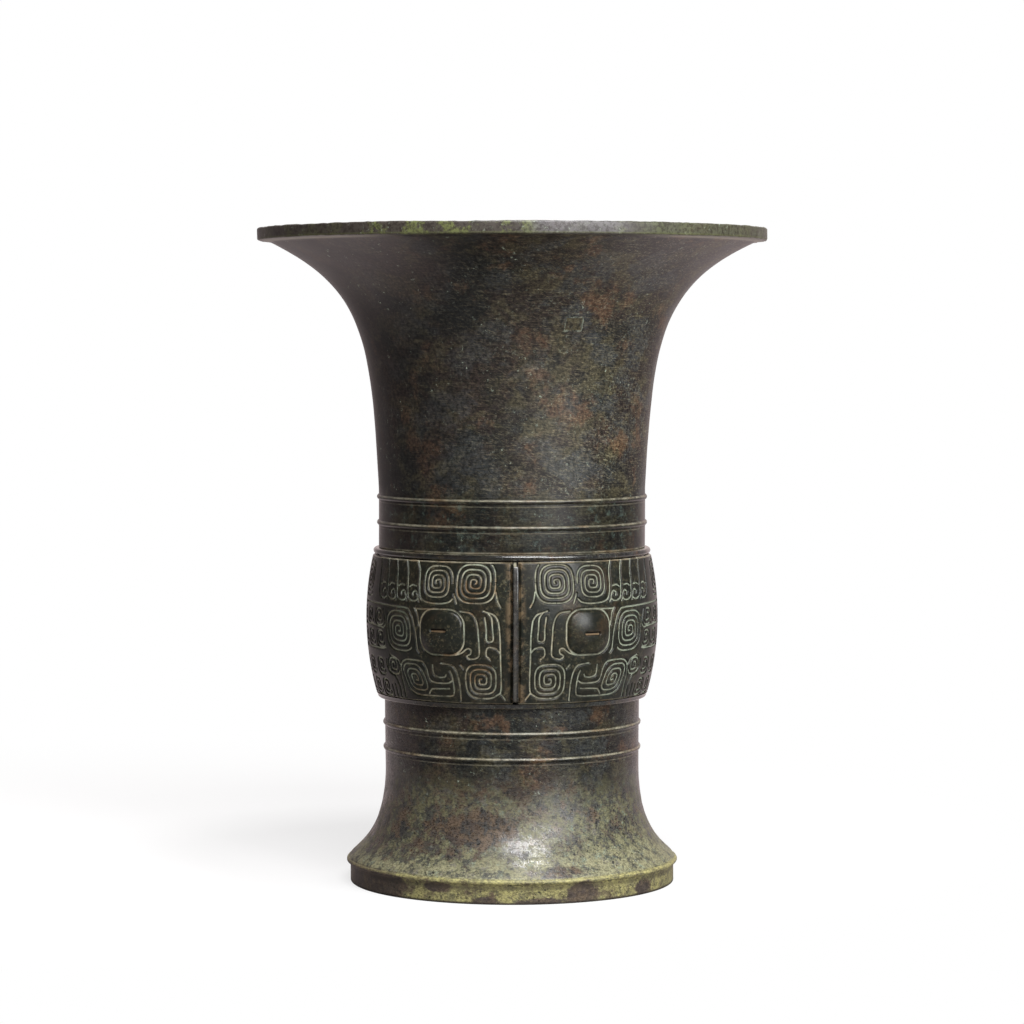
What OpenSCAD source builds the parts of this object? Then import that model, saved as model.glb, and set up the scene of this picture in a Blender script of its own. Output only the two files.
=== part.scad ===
// Bronze zun: a trumpet-mouthed ritual wine vessel on a tall ring foot.
// Millimetres, +Z up, origin at the centre of the standing ring, front mask towards -Y.

/* [Neck] */
// Height of the neck from the belly's upper edge to the rim
neck_h = 126.5; // [110:0.5:145]
// Outer diameter of the neck where it leaves the belly
neck_d = 106.2; // [100:0.2:108]
// Wall of the neck
neck_wall = 3; // [2.5:0.1:3.6]
// Straight stretch of the neck below the flare
neck_straight = 23.5; // [18:0.5:30]
// Outward lean of the flare curve where it starts
flare_lean = 3; // [1:0.1:5]
// Upward pull of the flare curve where it starts
flare_rise = 63.7; // [50:0.1:70]
// Inward pull of the flare curve under the lip
lip_pull = 35.8; // [28:0.1:40]
// Drop of the flare curve under the lip
lip_drop = 17.1; // [12:0.1:20]

/* [Mouth] */
// Diameter of the mouth over the lip
mouth_d = 202.4; // [185:0.2:215]
// Height of the lip's upright edge
lip_h = 4.8; // [3.5:0.1:6]
// Width of the flat underside of the lip
lip_w = 4.5; // [3:0.1:6]
// Rise of the lip's underside towards its edge
lip_tilt = 0.4; // [0:0.1:0.8]
// Wall of the flare at the lip
lip_wall = 4; // [3.4:0.1:4.4]
// Width of the flat top of the lip
lip_top = 1.2; // [0.8:0.1:2]

/* [Belly] */
// Height of the belly register
belly_h = 59.5; // [56:0.5:66]
// Largest diameter of the belly
belly_d = 116.4; // [114.5:0.2:120]
// Radius of the belly's bulge, seen from the side
bulge_r = 113.2; // [105:0.2:130]
// Height of the widest point above the belly's lower edge
bulge_up = 31.8; // [29:0.1:34]
// Wall of the belly behind the mask panels
belly_wall = 2.2; // [1.8:0.1:2.6]
// Width of the belly's lower edge round the foot's tenon
belly_rim = 3.2; // [2.8:0.1:3.6]
// Height of the plain border above the masks
top_border = 2.6; // [2:0.1:4]
// Height of the plain border below the masks
low_border = 1.8; // [1.2:0.1:3]
// Depth of the lap joints between the castings
lap_h = 4; // [3:0.1:5]

/* [Mask] */
// Thickness of the mask panels
mask_t = 2; // [1.8:0.1:2.3]
// Width of the nose ridge
ridge_w = 2.2; // [1.6:0.1:3]
// Height of the nose ridge above the mask
ridge_out = 1.9; // [1:0.1:3]
// Chamfer on the ends of the nose ridge
ridge_cut = 1.5; // [0.5:0.1:2]
// Angle of the eyes from the nose ridge
eye_at = 29.6; // [27:0.1:32]
// Height of the eyes above the belly's lower edge
eye_up = 29.6; // [27:0.1:31]
// Width of an eye boss
eye_w = 18.6; // [16:0.1:20]
// Height of an eye boss
eye_h = 16.8; // [14:0.1:18]
// Corner radius of an eye boss
eye_corner = 6; // [4:0.1:7]
// Rise of an eye boss above the mask
eye_out = 2.4; // [1.5:0.1:3]
// Radius of the dome of an eye boss
eye_dome = 24; // [20:0.5:40]
// Length of the slit pupil
pupil_w = 7.2; // [5:0.1:9]
// Height of the slit pupil
pupil_h = 1.2; // [0.8:0.1:2]
// Depth of the slit pupil
pupil_deep = 1; // [0.5:0.1:1.5]

/* [Carving] */
// Width of a carved line
groove_w = 0.9; // [0.7:0.05:1]
// Depth of a carved line at the middle of its motif
groove_deep = 1.4; // [1.1:0.05:1.6]
// Width of the carved frame round an eye
eye_frame = 0.9; // [0.6:0.05:1.2]
// Reach of a small curl from its middle
curl_r = 3.3; // [2.8:0.1:3.5]

/* [Floor] */
// Thickness of the vessel's floor
floor_t = 3; // [2.5:0.1:4]
// Drop of the dished floor at its centre
floor_dish = 4; // [2:0.1:6]
// Width of the flat seat round the floor
floor_seat = 4.4; // [4:0.1:6]

/* [Foot] */
// Height of the foot from the ground to the belly's lower edge
foot_h = 74; // [66:0.5:84]
// Outer diameter of the foot under the belly
foot_d = 101.8; // [96:0.2:108]
// Outer diameter of the foot where its flare starts
foot_waist_d = 101.2; // [98:0.2:101.8]
// Wall of the foot
foot_wall = 3; // [2.5:0.1:3.4]
// Height where the flare of the foot starts
foot_flare_z = 46; // [42:0.5:50]
// Downward pull of the foot's flare where it starts
foot_fall = 28.8; // [20:0.1:30]
// Inward pull of the foot's flare at the ledge
foot_pull = 1.6; // [0.5:0.1:4]
// Rise of the foot's flare at the ledge
foot_rise = 3.9; // [2:0.1:6]
// Diameter of the ledge above the standing ring
ledge_d = 132.4; // [128:0.2:140]
// Height of the ledge's widest line above the ground
ledge_z = 8.7; // [7.5:0.1:10]
// Radius of the ledge's rounded edge
ledge_round = 0.9; // [0.5:0.1:1.2]
// Diameter of the standing ring
ring_d = 129.4; // [124:0.2:131]
// Height of the standing ring
ring_h = 6.7; // [5:0.1:7]
// Width of the standing ring on the ground
ring_w = 4.6; // [3.6:0.1:6]

/* [Bow strings] */
// Width of a raised bow string line
string_w = 2.1; // [1.6:0.1:2.8]
// Height of a bow string above the wall
string_out = 0.75; // [0.5:0.05:1]
// Height of the lower neck string above the belly
neck_string_up = 10; // [8:0.1:11]
// Spacing of the two neck strings
neck_string_gap = 10.2; // [8:0.1:11]
// Depth of the upper foot string below the belly
foot_string_down = 10.3; // [8:0.1:11]
// Spacing of the two foot strings
foot_string_gap = 10; // [8:0.1:11]

/* [Casting spacers] */
// Width of a spacer plate
spacer_w = 6.8; // [5:0.1:8]
// Height of a spacer plate
spacer_h = 4.8; // [4:0.1:7]
// Height of the neck spacers above the belly
neck_spacer_up = 88.5; // [70:0.5:95]
// Angle of the first neck spacer from the front ridge
neck_spacer_at = 20.9; // [10:0.1:40]
// Distance of the floor spacers from the axis
floor_spacer_r = 30; // [20:0.5:36]
// Number of spacers in a ring
spacer_count = 3; // [2:1:4]

/* [Fit] */
// Gap left between curved or side faces that meet
fit = 0.1; // [0.05:0.05:0.2]

/* [Hidden] */
$fn = 96;
// Points along a curve, an arc, a turn of a spiral and a step of a carved line, and bands up the belly
CURVE_STEPS = 24;
ARC_STEPS = 6;
TURN_STEPS = 12;
SMOOTH_STEPS = 2;
BELLY_BANDS = 8;
// Angles between which the ledge's edge is round
LEDGE_FROM = 75;
LEDGE_TO = -60;
// Squareness of the spirals, and groove widths from a spiral's middle to its start
SQUARE = 3;
SPIRAL_EYE = 1.05;
// Turns of a small curl, and the angle of its outer end
CURL_TURNS = 1.9;
CURL_END = 200;
// Height of the belly that the mask is drawn for
DRAWN_H = 59.5;

belly_z = foot_h;
neck_z = belly_z + belly_h;
rim_z = neck_z + neck_h;
neck_r = neck_d / 2;
neck_bore_r = neck_r - neck_wall;
mouth_r = mouth_d / 2;
lip_z = rim_z - lip_h;
belly_r = belly_d / 2;
bulge_z = belly_z + bulge_up;
foot_r = foot_d / 2;
mask_lo = belly_z + low_border;
mask_hi = neck_z - top_border;

// Castings meet in half laps: the neck's spigot hangs inside the belly, and the foot's top stands inside it.
spigot_r = neck_bore_r + neck_wall / 2;
seat_z = belly_z + lap_h;
shelf_z = seat_z + floor_t;

BRONZE = [0.24, 0.22, 0.18];
DARK_BRONZE = [0.17, 0.16, 0.14];
GREEN_BRONZE = [0.36, 0.35, 0.22];
PALE_BRONZE = [0.30, 0.27, 0.20];

// A cubic curve through four handles, and the same curve moved sideways by a changing distance.
function bezier_at(p, t) = let (s = 1 - t)
    s * s * s * p[0] + 3 * s * s * t * p[1] + 3 * s * t * t * p[2] + t * t * t * p[3];
function bezier_way(p, t) = let (s = 1 - t)
    3 * s * s * (p[1] - p[0]) + 6 * s * t * (p[2] - p[1]) + 3 * t * t * (p[3] - p[2]);
function curve(p, n = CURVE_STEPS) = [for (i = [0:n]) bezier_at(p, i / n)];
function offset_curve(p, from, to, n = CURVE_STEPS) = [
    for (i = [0:n])
        let (way = bezier_way(p, i / n), side = [-way.y, way.x] / norm(way))
            bezier_at(p, i / n) + side * (from + (to - from) * i / n)];
function reversed(list) = [for (i = [len(list) - 1:-1:0]) list[i]];

// Outline of the trumpet neck: a straight neck, a flare, and a square lip.
flare_end = [mouth_r - lip_w, lip_z - lip_tilt];
neck_flare = [[neck_r, neck_z + neck_straight],
              [neck_r + flare_lean, neck_z + neck_straight + flare_rise],
              flare_end - [lip_pull, lip_drop],
              flare_end];

// A stretch of a circle, and the rounded bow string lines that stand out from a wall.
function arc(centre, r, from, to, n = ARC_STEPS) = [
    for (i = [0:n])
        let (a = from + (to - from) * i / n)
            centre + r * [cos(a), sin(a)]];
string_round = (string_w * string_w / 4 + string_out * string_out) / (2 * string_out);
string_half = asin(string_w / 2 / string_round);
function string_line(r, z) = arc([r + string_out - string_round, z], string_round, -string_half, string_half);

module neck_outline() {
    polygon(concat(
        [[neck_bore_r, neck_z - lap_h + fit], [spigot_r, neck_z - lap_h + fit], [spigot_r, neck_z],
         [neck_r, neck_z]],
        string_line(neck_r, neck_z + neck_string_up),
        string_line(neck_r, neck_z + neck_string_up + neck_string_gap),
        curve(neck_flare),
        [[mouth_r, lip_z], [mouth_r, rim_z], [mouth_r - lip_top, rim_z]],
        reversed(offset_curve(neck_flare, neck_wall, lip_wall))));
}

module neck_wall_solid() {
    rotate_extrude()
        neck_outline();
}

module on_ring(count, first = 0) {
    for (i = [0:count - 1])
        rotate([0, 0, first + i * 360 / count])
            children();
}

// A plate that passes straight through the wall, seen from the front.
module plate_through(w, h, z) {
    translate([-w / 2, -mouth_r, z - h / 2])
        cube([w, mouth_r, h]);
}

module neck_plates(gap) {
    on_ring(spacer_count, neck_spacer_at)
        plate_through(spacer_w + 2 * gap, spacer_h + 2 * gap, neck_z + neck_spacer_up);
}

module neck() {
    color(BRONZE)
        difference() {
            neck_wall_solid();
            neck_plates(fit);
        }
}

module neck_spacers() {
    color(PALE_BRONZE)
        intersection() {
            neck_wall_solid();
            neck_plates(0);
        }
}

// Radius of the belly's bulge at a height, and a run of points down or up it.
function belly_at(z) = belly_r - bulge_r + sqrt(bulge_r * bulge_r - (z - bulge_z) * (z - bulge_z));
function belly_run(from, to, deep = 0) = [
    for (i = [0:BELLY_BANDS])
        let (z = from + (to - from) * i / BELLY_BANDS)
            [belly_at(z) - deep, z]];

// The wine space inside the belly swells from the neck's bore and draws in again to the floor's shelf.
tenon_r = belly_at(belly_z) - belly_rim - fit;
shelf_r = tenon_r - floor_seat;
cavity_r = belly_r - mask_t - fit - belly_wall;
cavity_top = neck_z - lap_h;
cavity_low = shelf_z + floor_t;
cavity = [[neck_bore_r, cavity_top], [cavity_r, bulge_z + bulge_up / 2],
          [cavity_r, bulge_z - bulge_up / 2], [shelf_r + floor_seat / 2, cavity_low]];

module belly() {
    color(DARK_BRONZE)
        rotate_extrude()
            polygon(concat(
                [[tenon_r + fit, belly_z], [belly_at(belly_z), belly_z], [belly_at(mask_lo), mask_lo]],
                belly_run(mask_lo, mask_hi, mask_t + fit),
                [[belly_at(mask_hi), mask_hi], [belly_at(neck_z), neck_z], [spigot_r + fit, neck_z],
                 [spigot_r + fit, cavity_top]],
                curve(cavity, CURVE_STEPS / 2),
                [[shelf_r, shelf_z], [tenon_r + fit, shelf_z]]));
}

// The floor is a shallow dish whose flat edge is held between the belly's shelf and the top of the foot.
dish_r = shelf_r - fit;
function dish_run(top) = [
    for (i = [0:BELLY_BANDS])
        let (r = dish_r * i / BELLY_BANDS)
            [r, top - floor_dish * (1 - r * r / (dish_r * dish_r))]];

module floor_solid() {
    rotate_extrude()
        polygon(concat(dish_run(seat_z), [[tenon_r, seat_z], [tenon_r, shelf_z]], reversed(dish_run(shelf_z))));
}

module floor_plates(gap) {
    on_ring(spacer_count)
        translate([-spacer_w / 2 - gap, -floor_spacer_r - spacer_h / 2 - gap, 0])
            cube([spacer_w + 2 * gap, spacer_h + 2 * gap, rim_z]);
}

module floor() {
    color(BRONZE)
        difference() {
            floor_solid();
            floor_plates(fit);
        }
}

module floor_spacers() {
    color(PALE_BRONZE)
        intersection() {
            floor_solid();
            floor_plates(0);
        }
}

// Outline of the foot: a straight stem, a flare to a rounded ledge, and an upright standing ring.
ledge_r = ledge_d / 2 - ledge_round;
ring_r = ring_d / 2;
foot_flare = [[foot_waist_d / 2, foot_flare_z],
              [foot_waist_d / 2, foot_flare_z - foot_fall],
              [ledge_r - foot_pull, ledge_z + ledge_round + foot_rise],
              [ledge_r, ledge_z + ledge_round]];

foot_taper = (foot_d - foot_waist_d) / 2 / (belly_z - foot_flare_z);
function stem_at(z) = foot_waist_d / 2 + foot_taper * (z - foot_flare_z);
function foot_string(z) = reversed(string_line(stem_at(z), z));

module foot() {
    ring_in = ring_r - ring_w;
    stem_in = foot_r - foot_wall;
    tenon_in = min(tenon_r - foot_wall, stem_in);
    tenon = [[tenon_in, seat_z], [tenon_r, seat_z], [tenon_r, belly_z], [foot_r, belly_z]];
    shoulder_z = belly_z - foot_wall;
    shoulder = tenon_in < stem_in ? [[stem_in, shoulder_z], [tenon_in, shoulder_z]] : [];
    inner = [for (p = offset_curve(foot_flare, -foot_wall, -foot_wall)) if (p.x < ring_in) p];
    color(GREEN_BRONZE)
        rotate_extrude()
            polygon(concat(
                tenon,
                foot_string(belly_z - foot_string_down),
                foot_string(belly_z - foot_string_down - foot_string_gap),
                curve(foot_flare),
                arc([ledge_r, ledge_z], ledge_round, LEDGE_FROM, LEDGE_TO),
                [[ring_r, ring_h], [ring_r, 0], [ring_in, 0], [ring_in, ring_h]],
                reversed(inner),
                shoulder));
}

// A quarter of the belly's skin between a nose ridge and the seam at the side.
module quarter(far) {
    translate([ridge_w / 2 + fit, -far, mask_lo])
        cube([far, far - fit / 2, mask_hi - mask_lo]);
}

module skin(deep) {
    rotate_extrude()
        polygon(concat(belly_run(mask_lo, mask_hi), reversed(belly_run(mask_lo, mask_hi, deep))));
}

// Places its children on the belly's front: drawn in X and Y, raised along Z square to the bulge.
function bulge_lean(z) = asin((z - bulge_z) / bulge_r);
module on_belly(angle, up) {
    z = belly_z + up;
    rotate([0, 0, angle])
        translate([0, -belly_at(z), z])
            rotate([90 - bulge_lean(z), 0, 0])
                children();
}

module eye_outline(grow = 0) {
    corner = eye_corner + grow;
    inner_w = eye_w / 2 - eye_corner;
    inner_h = eye_h / 2 - eye_corner;
    square([2 * inner_w, eye_h + 2 * grow], center = true);
    square([eye_w + 2 * grow, 2 * inner_h], center = true);
    for (x = [-1, 1], y = [-1, 1])
        translate([x * inner_w, y * inner_h])
            circle(r = corner);
}

module eye() {
    on_belly(eye_at, eye_up)
        difference() {
            intersection() {
                translate([0, 0, -mask_t])
                    linear_extrude(mask_t + eye_out)
                        eye_outline();
                translate([0, 0, eye_out - eye_dome])
                    sphere(r = eye_dome);
            }
            translate([0, 0, eye_out - pupil_deep])
                linear_extrude(2 * pupil_deep)
                    square([pupil_w, pupil_h], center = true);
        }
}

// The mask is drawn for its right half, in degrees round from the nose ridge and millimetres above the belly.
// A square spiral: its middle, reach, turns, outer end's angle, way of winding, lean and tail.
SPIRALS = [
    [[16, 49], 8.6, 4.5, 135, -1, 0, []],
    [[31.8, 48.7], 6.9, 3.9, 180, 1, 0, [[24.4, 44.5], [23.1, 40.9]]],
    [[51.1, 29.5], 8.4, 4.4, 225, -1, 0.08, []],
    [[13.3, 11.2], 7.4, 3.9, 225, -1, 0, [[5.8, 8], [5.6, 12], [5.7, 17], [5.8, 21.8]]],
    [[43.1, 10.8], 6.5, 3.35, 270, -1, 0.35, []],
    [[79.5, 48.6], 7.6, 4, 225, -1, 0, []]];

// Small curls of the body, the tail and the claws.
CURLS = [[65.6, 34], [74.6, 34], [83.6, 34], [64.4, 25.4], [73.4, 25.4], [82.4, 25.4],
         [56, 15.2], [66, 14.5], [75.5, 14.5], [84.5, 14.5], [64, 6.2], [73, 6.2], [82, 6.2]];

// Feathers stand in a row above the ear.
FEATHERS = [46.5, 53, 59.5, 66];
FEATHER = [[2.2, 57], [0.6, 53], [0, 47], [-0.5, 43], [-2, 41.4], [-4.4, 41.3],
           [-5.7, 42.6], [-5, 44.6], [-3.4, 44.2]];

LINES = [
    // Outer line of the brow
    [[5.6, 39.6], [6.9, 42.2], [7.7, 45.5]],
    [[42.3, 57], [40.7, 53], [40.4, 48], [39.6, 43.5], [37.5, 41.3], [31.4, 40.6], [26.8, 41.2],
     [24.9, 42.6]],
    // Nose line, its inner fork and its hook
    [[12.3, 38.2], [8.2, 36.7], [6.5, 33.5], [6, 28], [5.8, 22.2]],
    [[9.1, 35.3], [8.8, 31], [8.7, 27.4], [9.9, 26.4], [11, 27.4], [11.2, 31.3], [11.8, 35.7]],
    [[5, 21.9], [7.5, 23.7], [9.8, 24.2], [11.1, 23.4], [11.2, 21], [9.6, 19.3]],
    // Bracket round the eye
    [[21.5, 37.9], [17.5, 37.3], [15.4, 35.2], [14.4, 31], [14, 24], [14.2, 21], [15.8, 19.7],
     [17.8, 19.5], [19, 20.8]],
    // Outer line of the ear
    [[61.2, 38.6], [47.2, 38.2], [45.1, 37.4], [43.4, 35.1], [42.2, 31], [41.3, 26], [41, 22.5], [39.8, 21]],
    [[61.3, 39.6], [60.6, 35], [60, 31.7], [62, 29.4]],
    // Bars between the rows of curls
    [[61.3, 38.7], [67, 38.8], [73.4, 38.8]],
    [[74, 38.8], [80, 38.7], [86, 38.6]],
    [[61.4, 29.6], [69, 29.8], [76.4, 30]],
    [[77.4, 30], [83, 29.9], [88, 29.8]],
    [[60.4, 21.2], [66, 20.8], [72, 20.7]],
    [[73.2, 20.7], [80, 20.7], [86.5, 20.7]],
    // Jaw and fang
    [[22.6, 3], [22.5, 8], [23.3, 13.7], [25.8, 16.9], [30.1, 17.5]],
    [[41, 4.3], [35.4, 4.3], [27, 4.6], [25.2, 7], [25.4, 10.9], [26.5, 14.6]],
    [[25, 10.9], [27.6, 9.7], [31.3, 9.5], [35.3, 10.2], [36.9, 14], [38.2, 17.7]],
    [[36.9, 16.7], [40.3, 17.8], [44.7, 18], [49.5, 17.2], [51.3, 13.5], [51.2, 9.5], [50.6, 3]],
    // Claws
    [[60.2, 17], [60.4, 14.8], [59, 12], [55.5, 10.8], [53.6, 7.5], [53.3, 3]],
    [[56.2, 7.5], [56, 3]],
    [[58.8, 7], [58.7, 3]]];

// A smooth line through its points, a spiral, and the outline of the groove that follows either.
function smooth_at(p, i, t) = let (
        a = p[max(i - 1, 0)], b = p[i], c = p[i + 1], d = p[min(i + 2, len(p) - 1)])
    0.5 * (2 * b + (c - a) * t + (2 * a - 5 * b + 4 * c - d) * t * t + (3 * b - a - 3 * c + d) * t * t * t);
function smooth(p) = concat(
    [for (i = [0:len(p) - 2], k = [0:SMOOTH_STEPS - 1]) smooth_at(p, i, k / SMOOTH_STEPS)],
    [p[len(p) - 1]]);
degree = belly_r * PI / 180;
function squared(x) = sign(x) * pow(abs(x), 2 / SQUARE);
function spiral(middle, reach, turns, end, way, lean) = let (n = ceil(turns * TURN_STEPS)) [
    for (i = [ceil(n * SPIRAL_EYE * groove_w / reach):n])
        let (k = i / n, a = end - way * 360 * turns * (1 - k), v = reach * k * squared(sin(a)))
            middle + [(reach * k * squared(cos(a)) + lean * v) / degree, v]];
function moved(p, by) = [for (q = p) q + [by, 0]];
function side_of(p, i) = let (way = p[min(i + 1, len(p) - 1)] - p[max(i - 1, 0)]) [-way.y, way.x] / norm(way);
function edge(p, out) = [for (i = [0:len(p) - 1]) p[i] + side_of(p, i) * out];
function ribbon(p) = concat(edge(p, groove_w / 2), reversed(edge(p, -groove_w / 2)));
function middle_of(list) = (min(list) + max(list)) / 2;

module groove(p) {
    tall = belly_h / DRAWN_H;
    at = middle_of([for (q = p) q.x]);
    up = middle_of([for (q = p) q.y]) * tall;
    lean = bulge_lean(belly_z + up);
    flat = [for (q = p) [belly_at(belly_z + q.y * tall) * sin(q.x - at), (q.y * tall - up) / cos(lean)]];
    on_belly(at, up)
        translate([0, 0, -groove_deep])
            linear_extrude(2 * groove_deep)
                polygon(ribbon(flat));
}

module mask_panel() {
    color(DARK_BRONZE)
        union() {
            difference() {
                intersection() {
                    skin(mask_t);
                    quarter(belly_d);
                }
                for (q = SPIRALS)
                    groove(concat(spiral(q[0], q[1], q[2], q[3], q[4], q[5]), q[6]));
                for (q = CURLS)
                    groove(spiral(q, curl_r, CURL_TURNS, CURL_END, -1, 0));
                for (by = FEATHERS)
                    groove(smooth(moved(FEATHER, by)));
                for (p = LINES)
                    groove(smooth(p));
                on_belly(eye_at, eye_up)
                    translate([0, 0, -groove_deep])
                        linear_extrude(2 * groove_deep)
                            eye_outline(eye_frame);
            }
            eye();
        }
}

module ridge() {
    top = mask_hi - fit;
    color(BRONZE)
        rotate([90, 0, -90])
            translate([0, 0, -ridge_w / 2])
                linear_extrude(ridge_w)
                    polygon(concat(
                        belly_run(mask_lo, top, mask_t),
                        [[belly_at(top), top]],
                        reversed(belly_run(mask_lo + ridge_cut, top - ridge_cut, -ridge_out)),
                        [[belly_at(mask_lo), mask_lo]]));
}

module front_mask_right() { mask_panel(); }
module front_mask_left() { mirror([1, 0, 0]) mask_panel(); }
module back_mask_right() { rotate([0, 0, 180]) mask_panel(); }
module back_mask_left() { mirror([0, 1, 0]) mask_panel(); }
module front_ridge() { ridge(); }
module back_ridge() { rotate([0, 0, 180]) ridge(); }

neck();
belly();
floor();
foot();
front_mask_left();
front_mask_right();
back_mask_left();
back_mask_right();
front_ridge();
back_ridge();
neck_spacers();
floor_spacers();
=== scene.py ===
# %% [markdown]
# # A bronze zun, piece by piece
#
# A zun is a wine vessel of cast bronze: a trumpet neck, a belly with a band of animal masks, and a ring
# foot. The packed model already holds every piece at its real size, so this lesson only dresses it.
# Loading the model first gives a fixed frame in metres, and each new piece takes its place from it.

# %% Load the packed vessel
import math

import bpy
import numpy as np
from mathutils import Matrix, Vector
from mathutils.kdtree import KDTree


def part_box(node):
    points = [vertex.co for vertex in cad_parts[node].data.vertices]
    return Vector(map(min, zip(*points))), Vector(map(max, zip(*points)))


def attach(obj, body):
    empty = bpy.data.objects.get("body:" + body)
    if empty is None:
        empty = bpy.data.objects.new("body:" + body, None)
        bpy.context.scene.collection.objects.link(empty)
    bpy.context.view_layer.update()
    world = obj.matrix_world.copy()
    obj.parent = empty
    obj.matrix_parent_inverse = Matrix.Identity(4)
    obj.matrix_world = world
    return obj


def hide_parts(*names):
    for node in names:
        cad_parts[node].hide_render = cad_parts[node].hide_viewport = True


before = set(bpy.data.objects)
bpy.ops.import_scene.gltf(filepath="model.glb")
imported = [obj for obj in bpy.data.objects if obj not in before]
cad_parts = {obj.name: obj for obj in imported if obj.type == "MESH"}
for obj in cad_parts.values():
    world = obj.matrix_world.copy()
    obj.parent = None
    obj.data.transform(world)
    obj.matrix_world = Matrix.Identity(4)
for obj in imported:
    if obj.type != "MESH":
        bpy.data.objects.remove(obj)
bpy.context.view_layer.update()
MM = 0.001

# %% [markdown]
# ## Where the pieces meet
#
# The neck, the belly and the foot stack on one axis. Their boxes in the frame give the heights at which
# they meet and the widest rings, so that no height has to be typed twice. Everything below is in
# millimetres until it becomes a vertex.

# %% Heights and widest rings from the frame
BELLY_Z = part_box("belly")[0].z / MM
NECK_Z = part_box("belly")[1].z / MM
RIM_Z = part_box("neck")[1].z / MM
MOUTH_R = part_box("neck")[1].x / MM
LEDGE_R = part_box("foot")[1].x / MM
SEAT_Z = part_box("foot")[1].z / MM
MASK_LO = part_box("front_ridge")[0].z / MM
MASK_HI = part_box("front_mask_right")[1].z / MM
print(f"belly {BELLY_Z:.1f} to {NECK_Z:.1f}, rim {RIM_Z:.1f}, mouth radius {MOUTH_R:.1f} mm")

# %% [markdown]
# ## The camera
#
# The picture is taken with a long lens from a little above the middle of the vessel, so the mouth shows as
# a straight line and the foot as a shallow curve. The camera stands slightly to the left of the nose ridge.

# %% Set the camera
LENS = 119.07
CAMERA_AWAY = 1351
CAMERA_UP = 217
CAMERA_PITCH = math.radians(2.954)
CAMERA_SWING = math.radians(1.4)

bpy.ops.object.select_all(action="DESELECT")
bpy.ops.object.camera_add(
    location=(-CAMERA_AWAY * math.sin(CAMERA_SWING) * MM,
              -CAMERA_AWAY * math.cos(CAMERA_SWING) * MM,
              CAMERA_UP * MM),
    rotation=(math.pi / 2 - CAMERA_PITCH, 0, -CAMERA_SWING))
camera = bpy.context.object
camera.data.lens = LENS
bpy.context.scene.camera = camera
bpy.context.scene.view_settings.view_transform = "Standard"
print("camera at", [round(x, 3) for x in camera.location])

# %% [markdown]
# ## Turning a piece on a lathe
#
# Neck, belly and foot are round, so each is one closed outline spun about the axis. The outline is a circle
# primitive whose points are moved to their places, and the spin operator sweeps it round. The last step of
# a full turn lies on the first, so doubles are merged, and then the normals are turned outwards.

# %% Lathe helper
SPIN_STEPS = 320
MERGE = 0.0005 * MM
SHARP = math.radians(38)


def only(*objects):
    """Selects these objects and nothing else, the last one active."""
    bpy.ops.object.select_all(action="DESELECT")
    for item in objects:
        item.select_set(True)
        bpy.context.view_layer.objects.active = item


def close_up(piece):
    """Merges doubled points and turns every face outwards."""
    only(piece)
    bpy.ops.object.mode_set(mode="EDIT")
    bpy.ops.mesh.select_all(action="SELECT")
    bpy.ops.mesh.remove_doubles(threshold=MERGE)
    bpy.ops.mesh.normals_make_consistent(inside=False)
    bpy.ops.object.mode_set(mode="OBJECT")


def lathe(name, outline):
    """Spins a closed outline of (radius, height) points into a solid ring."""
    bpy.ops.object.select_all(action="DESELECT")
    bpy.ops.mesh.primitive_circle_add(vertices=len(outline), radius=MOUTH_R * MM)
    piece = bpy.context.object
    piece.name = name
    for vertex, (radius, height) in zip(piece.data.vertices, outline):
        vertex.co = (0, radius * MM, height * MM)
    bpy.ops.object.mode_set(mode="EDIT")
    bpy.ops.mesh.select_all(action="SELECT")
    bpy.ops.mesh.spin(steps=SPIN_STEPS, angle=2 * math.pi, center=(0, 0, 0), axis=(0, 0, 1))
    bpy.ops.object.mode_set(mode="OBJECT")
    close_up(piece)
    bpy.ops.object.shade_smooth_by_angle(angle=SHARP)
    return piece


print("lathe:", SPIN_STEPS, "steps a turn")

# %% [markdown]
# ### Curves for the outlines
#
# The outline of such a vessel is a few long sweeps and small round beads. Its points could be typed one by
# one, but a curve with two handles stays smooth at any number of points, and the inside of a wall is the same
# run of points moved sideways.

# %% Curves, and the string line
def bezier(points, count):
    """Points on a curve with two handles, ends included."""
    t = np.linspace(0, 1, count)[:, None]
    start, leaving, arriving, end = np.array(points, float)
    near_start = (1 - t) ** 3 * start + 3 * (1 - t) ** 2 * t * leaving
    return list(near_start + 3 * (1 - t) * t ** 2 * arriving + t ** 3 * end)


def beside(points, gap_from, gap_to):
    """The run of points moved sideways, to its left, by a gap that grows along it."""
    points = np.array(points)
    way = np.gradient(points, axis=0)
    way /= np.linalg.norm(way, axis=1)[:, None]
    gap = np.linspace(gap_from, gap_to, len(points))[:, None]
    return list(points + gap * np.column_stack([-way[:, 1], way[:, 0]]))


def arc(centre, radius, start, end, count=7):
    """Points on part of a circle, angles in degrees."""
    turn = np.radians(np.linspace(start, end, count))
    return [(centre[0] + radius * math.cos(a), centre[1] + radius * math.sin(a)) for a in turn]


STRING_W = 2.1
STRING_OUT = 0.75
STRING_ROUND = (STRING_W ** 2 / 4 + STRING_OUT ** 2) / (2 * STRING_OUT)
STRING_HALF = math.degrees(math.asin(STRING_W / 2 / STRING_ROUND))
STRING_STEPS = 13


def string_line(radius, height):
    """The raised bead that runs round a wall like a bow string, from its lower edge to its upper edge."""
    centre = (radius + STRING_OUT - STRING_ROUND, height)
    return arc(centre, STRING_ROUND, -STRING_HALF, STRING_HALF, STRING_STEPS)


print("string line:", STRING_W, "mm wide and", STRING_OUT, "mm high")

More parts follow.
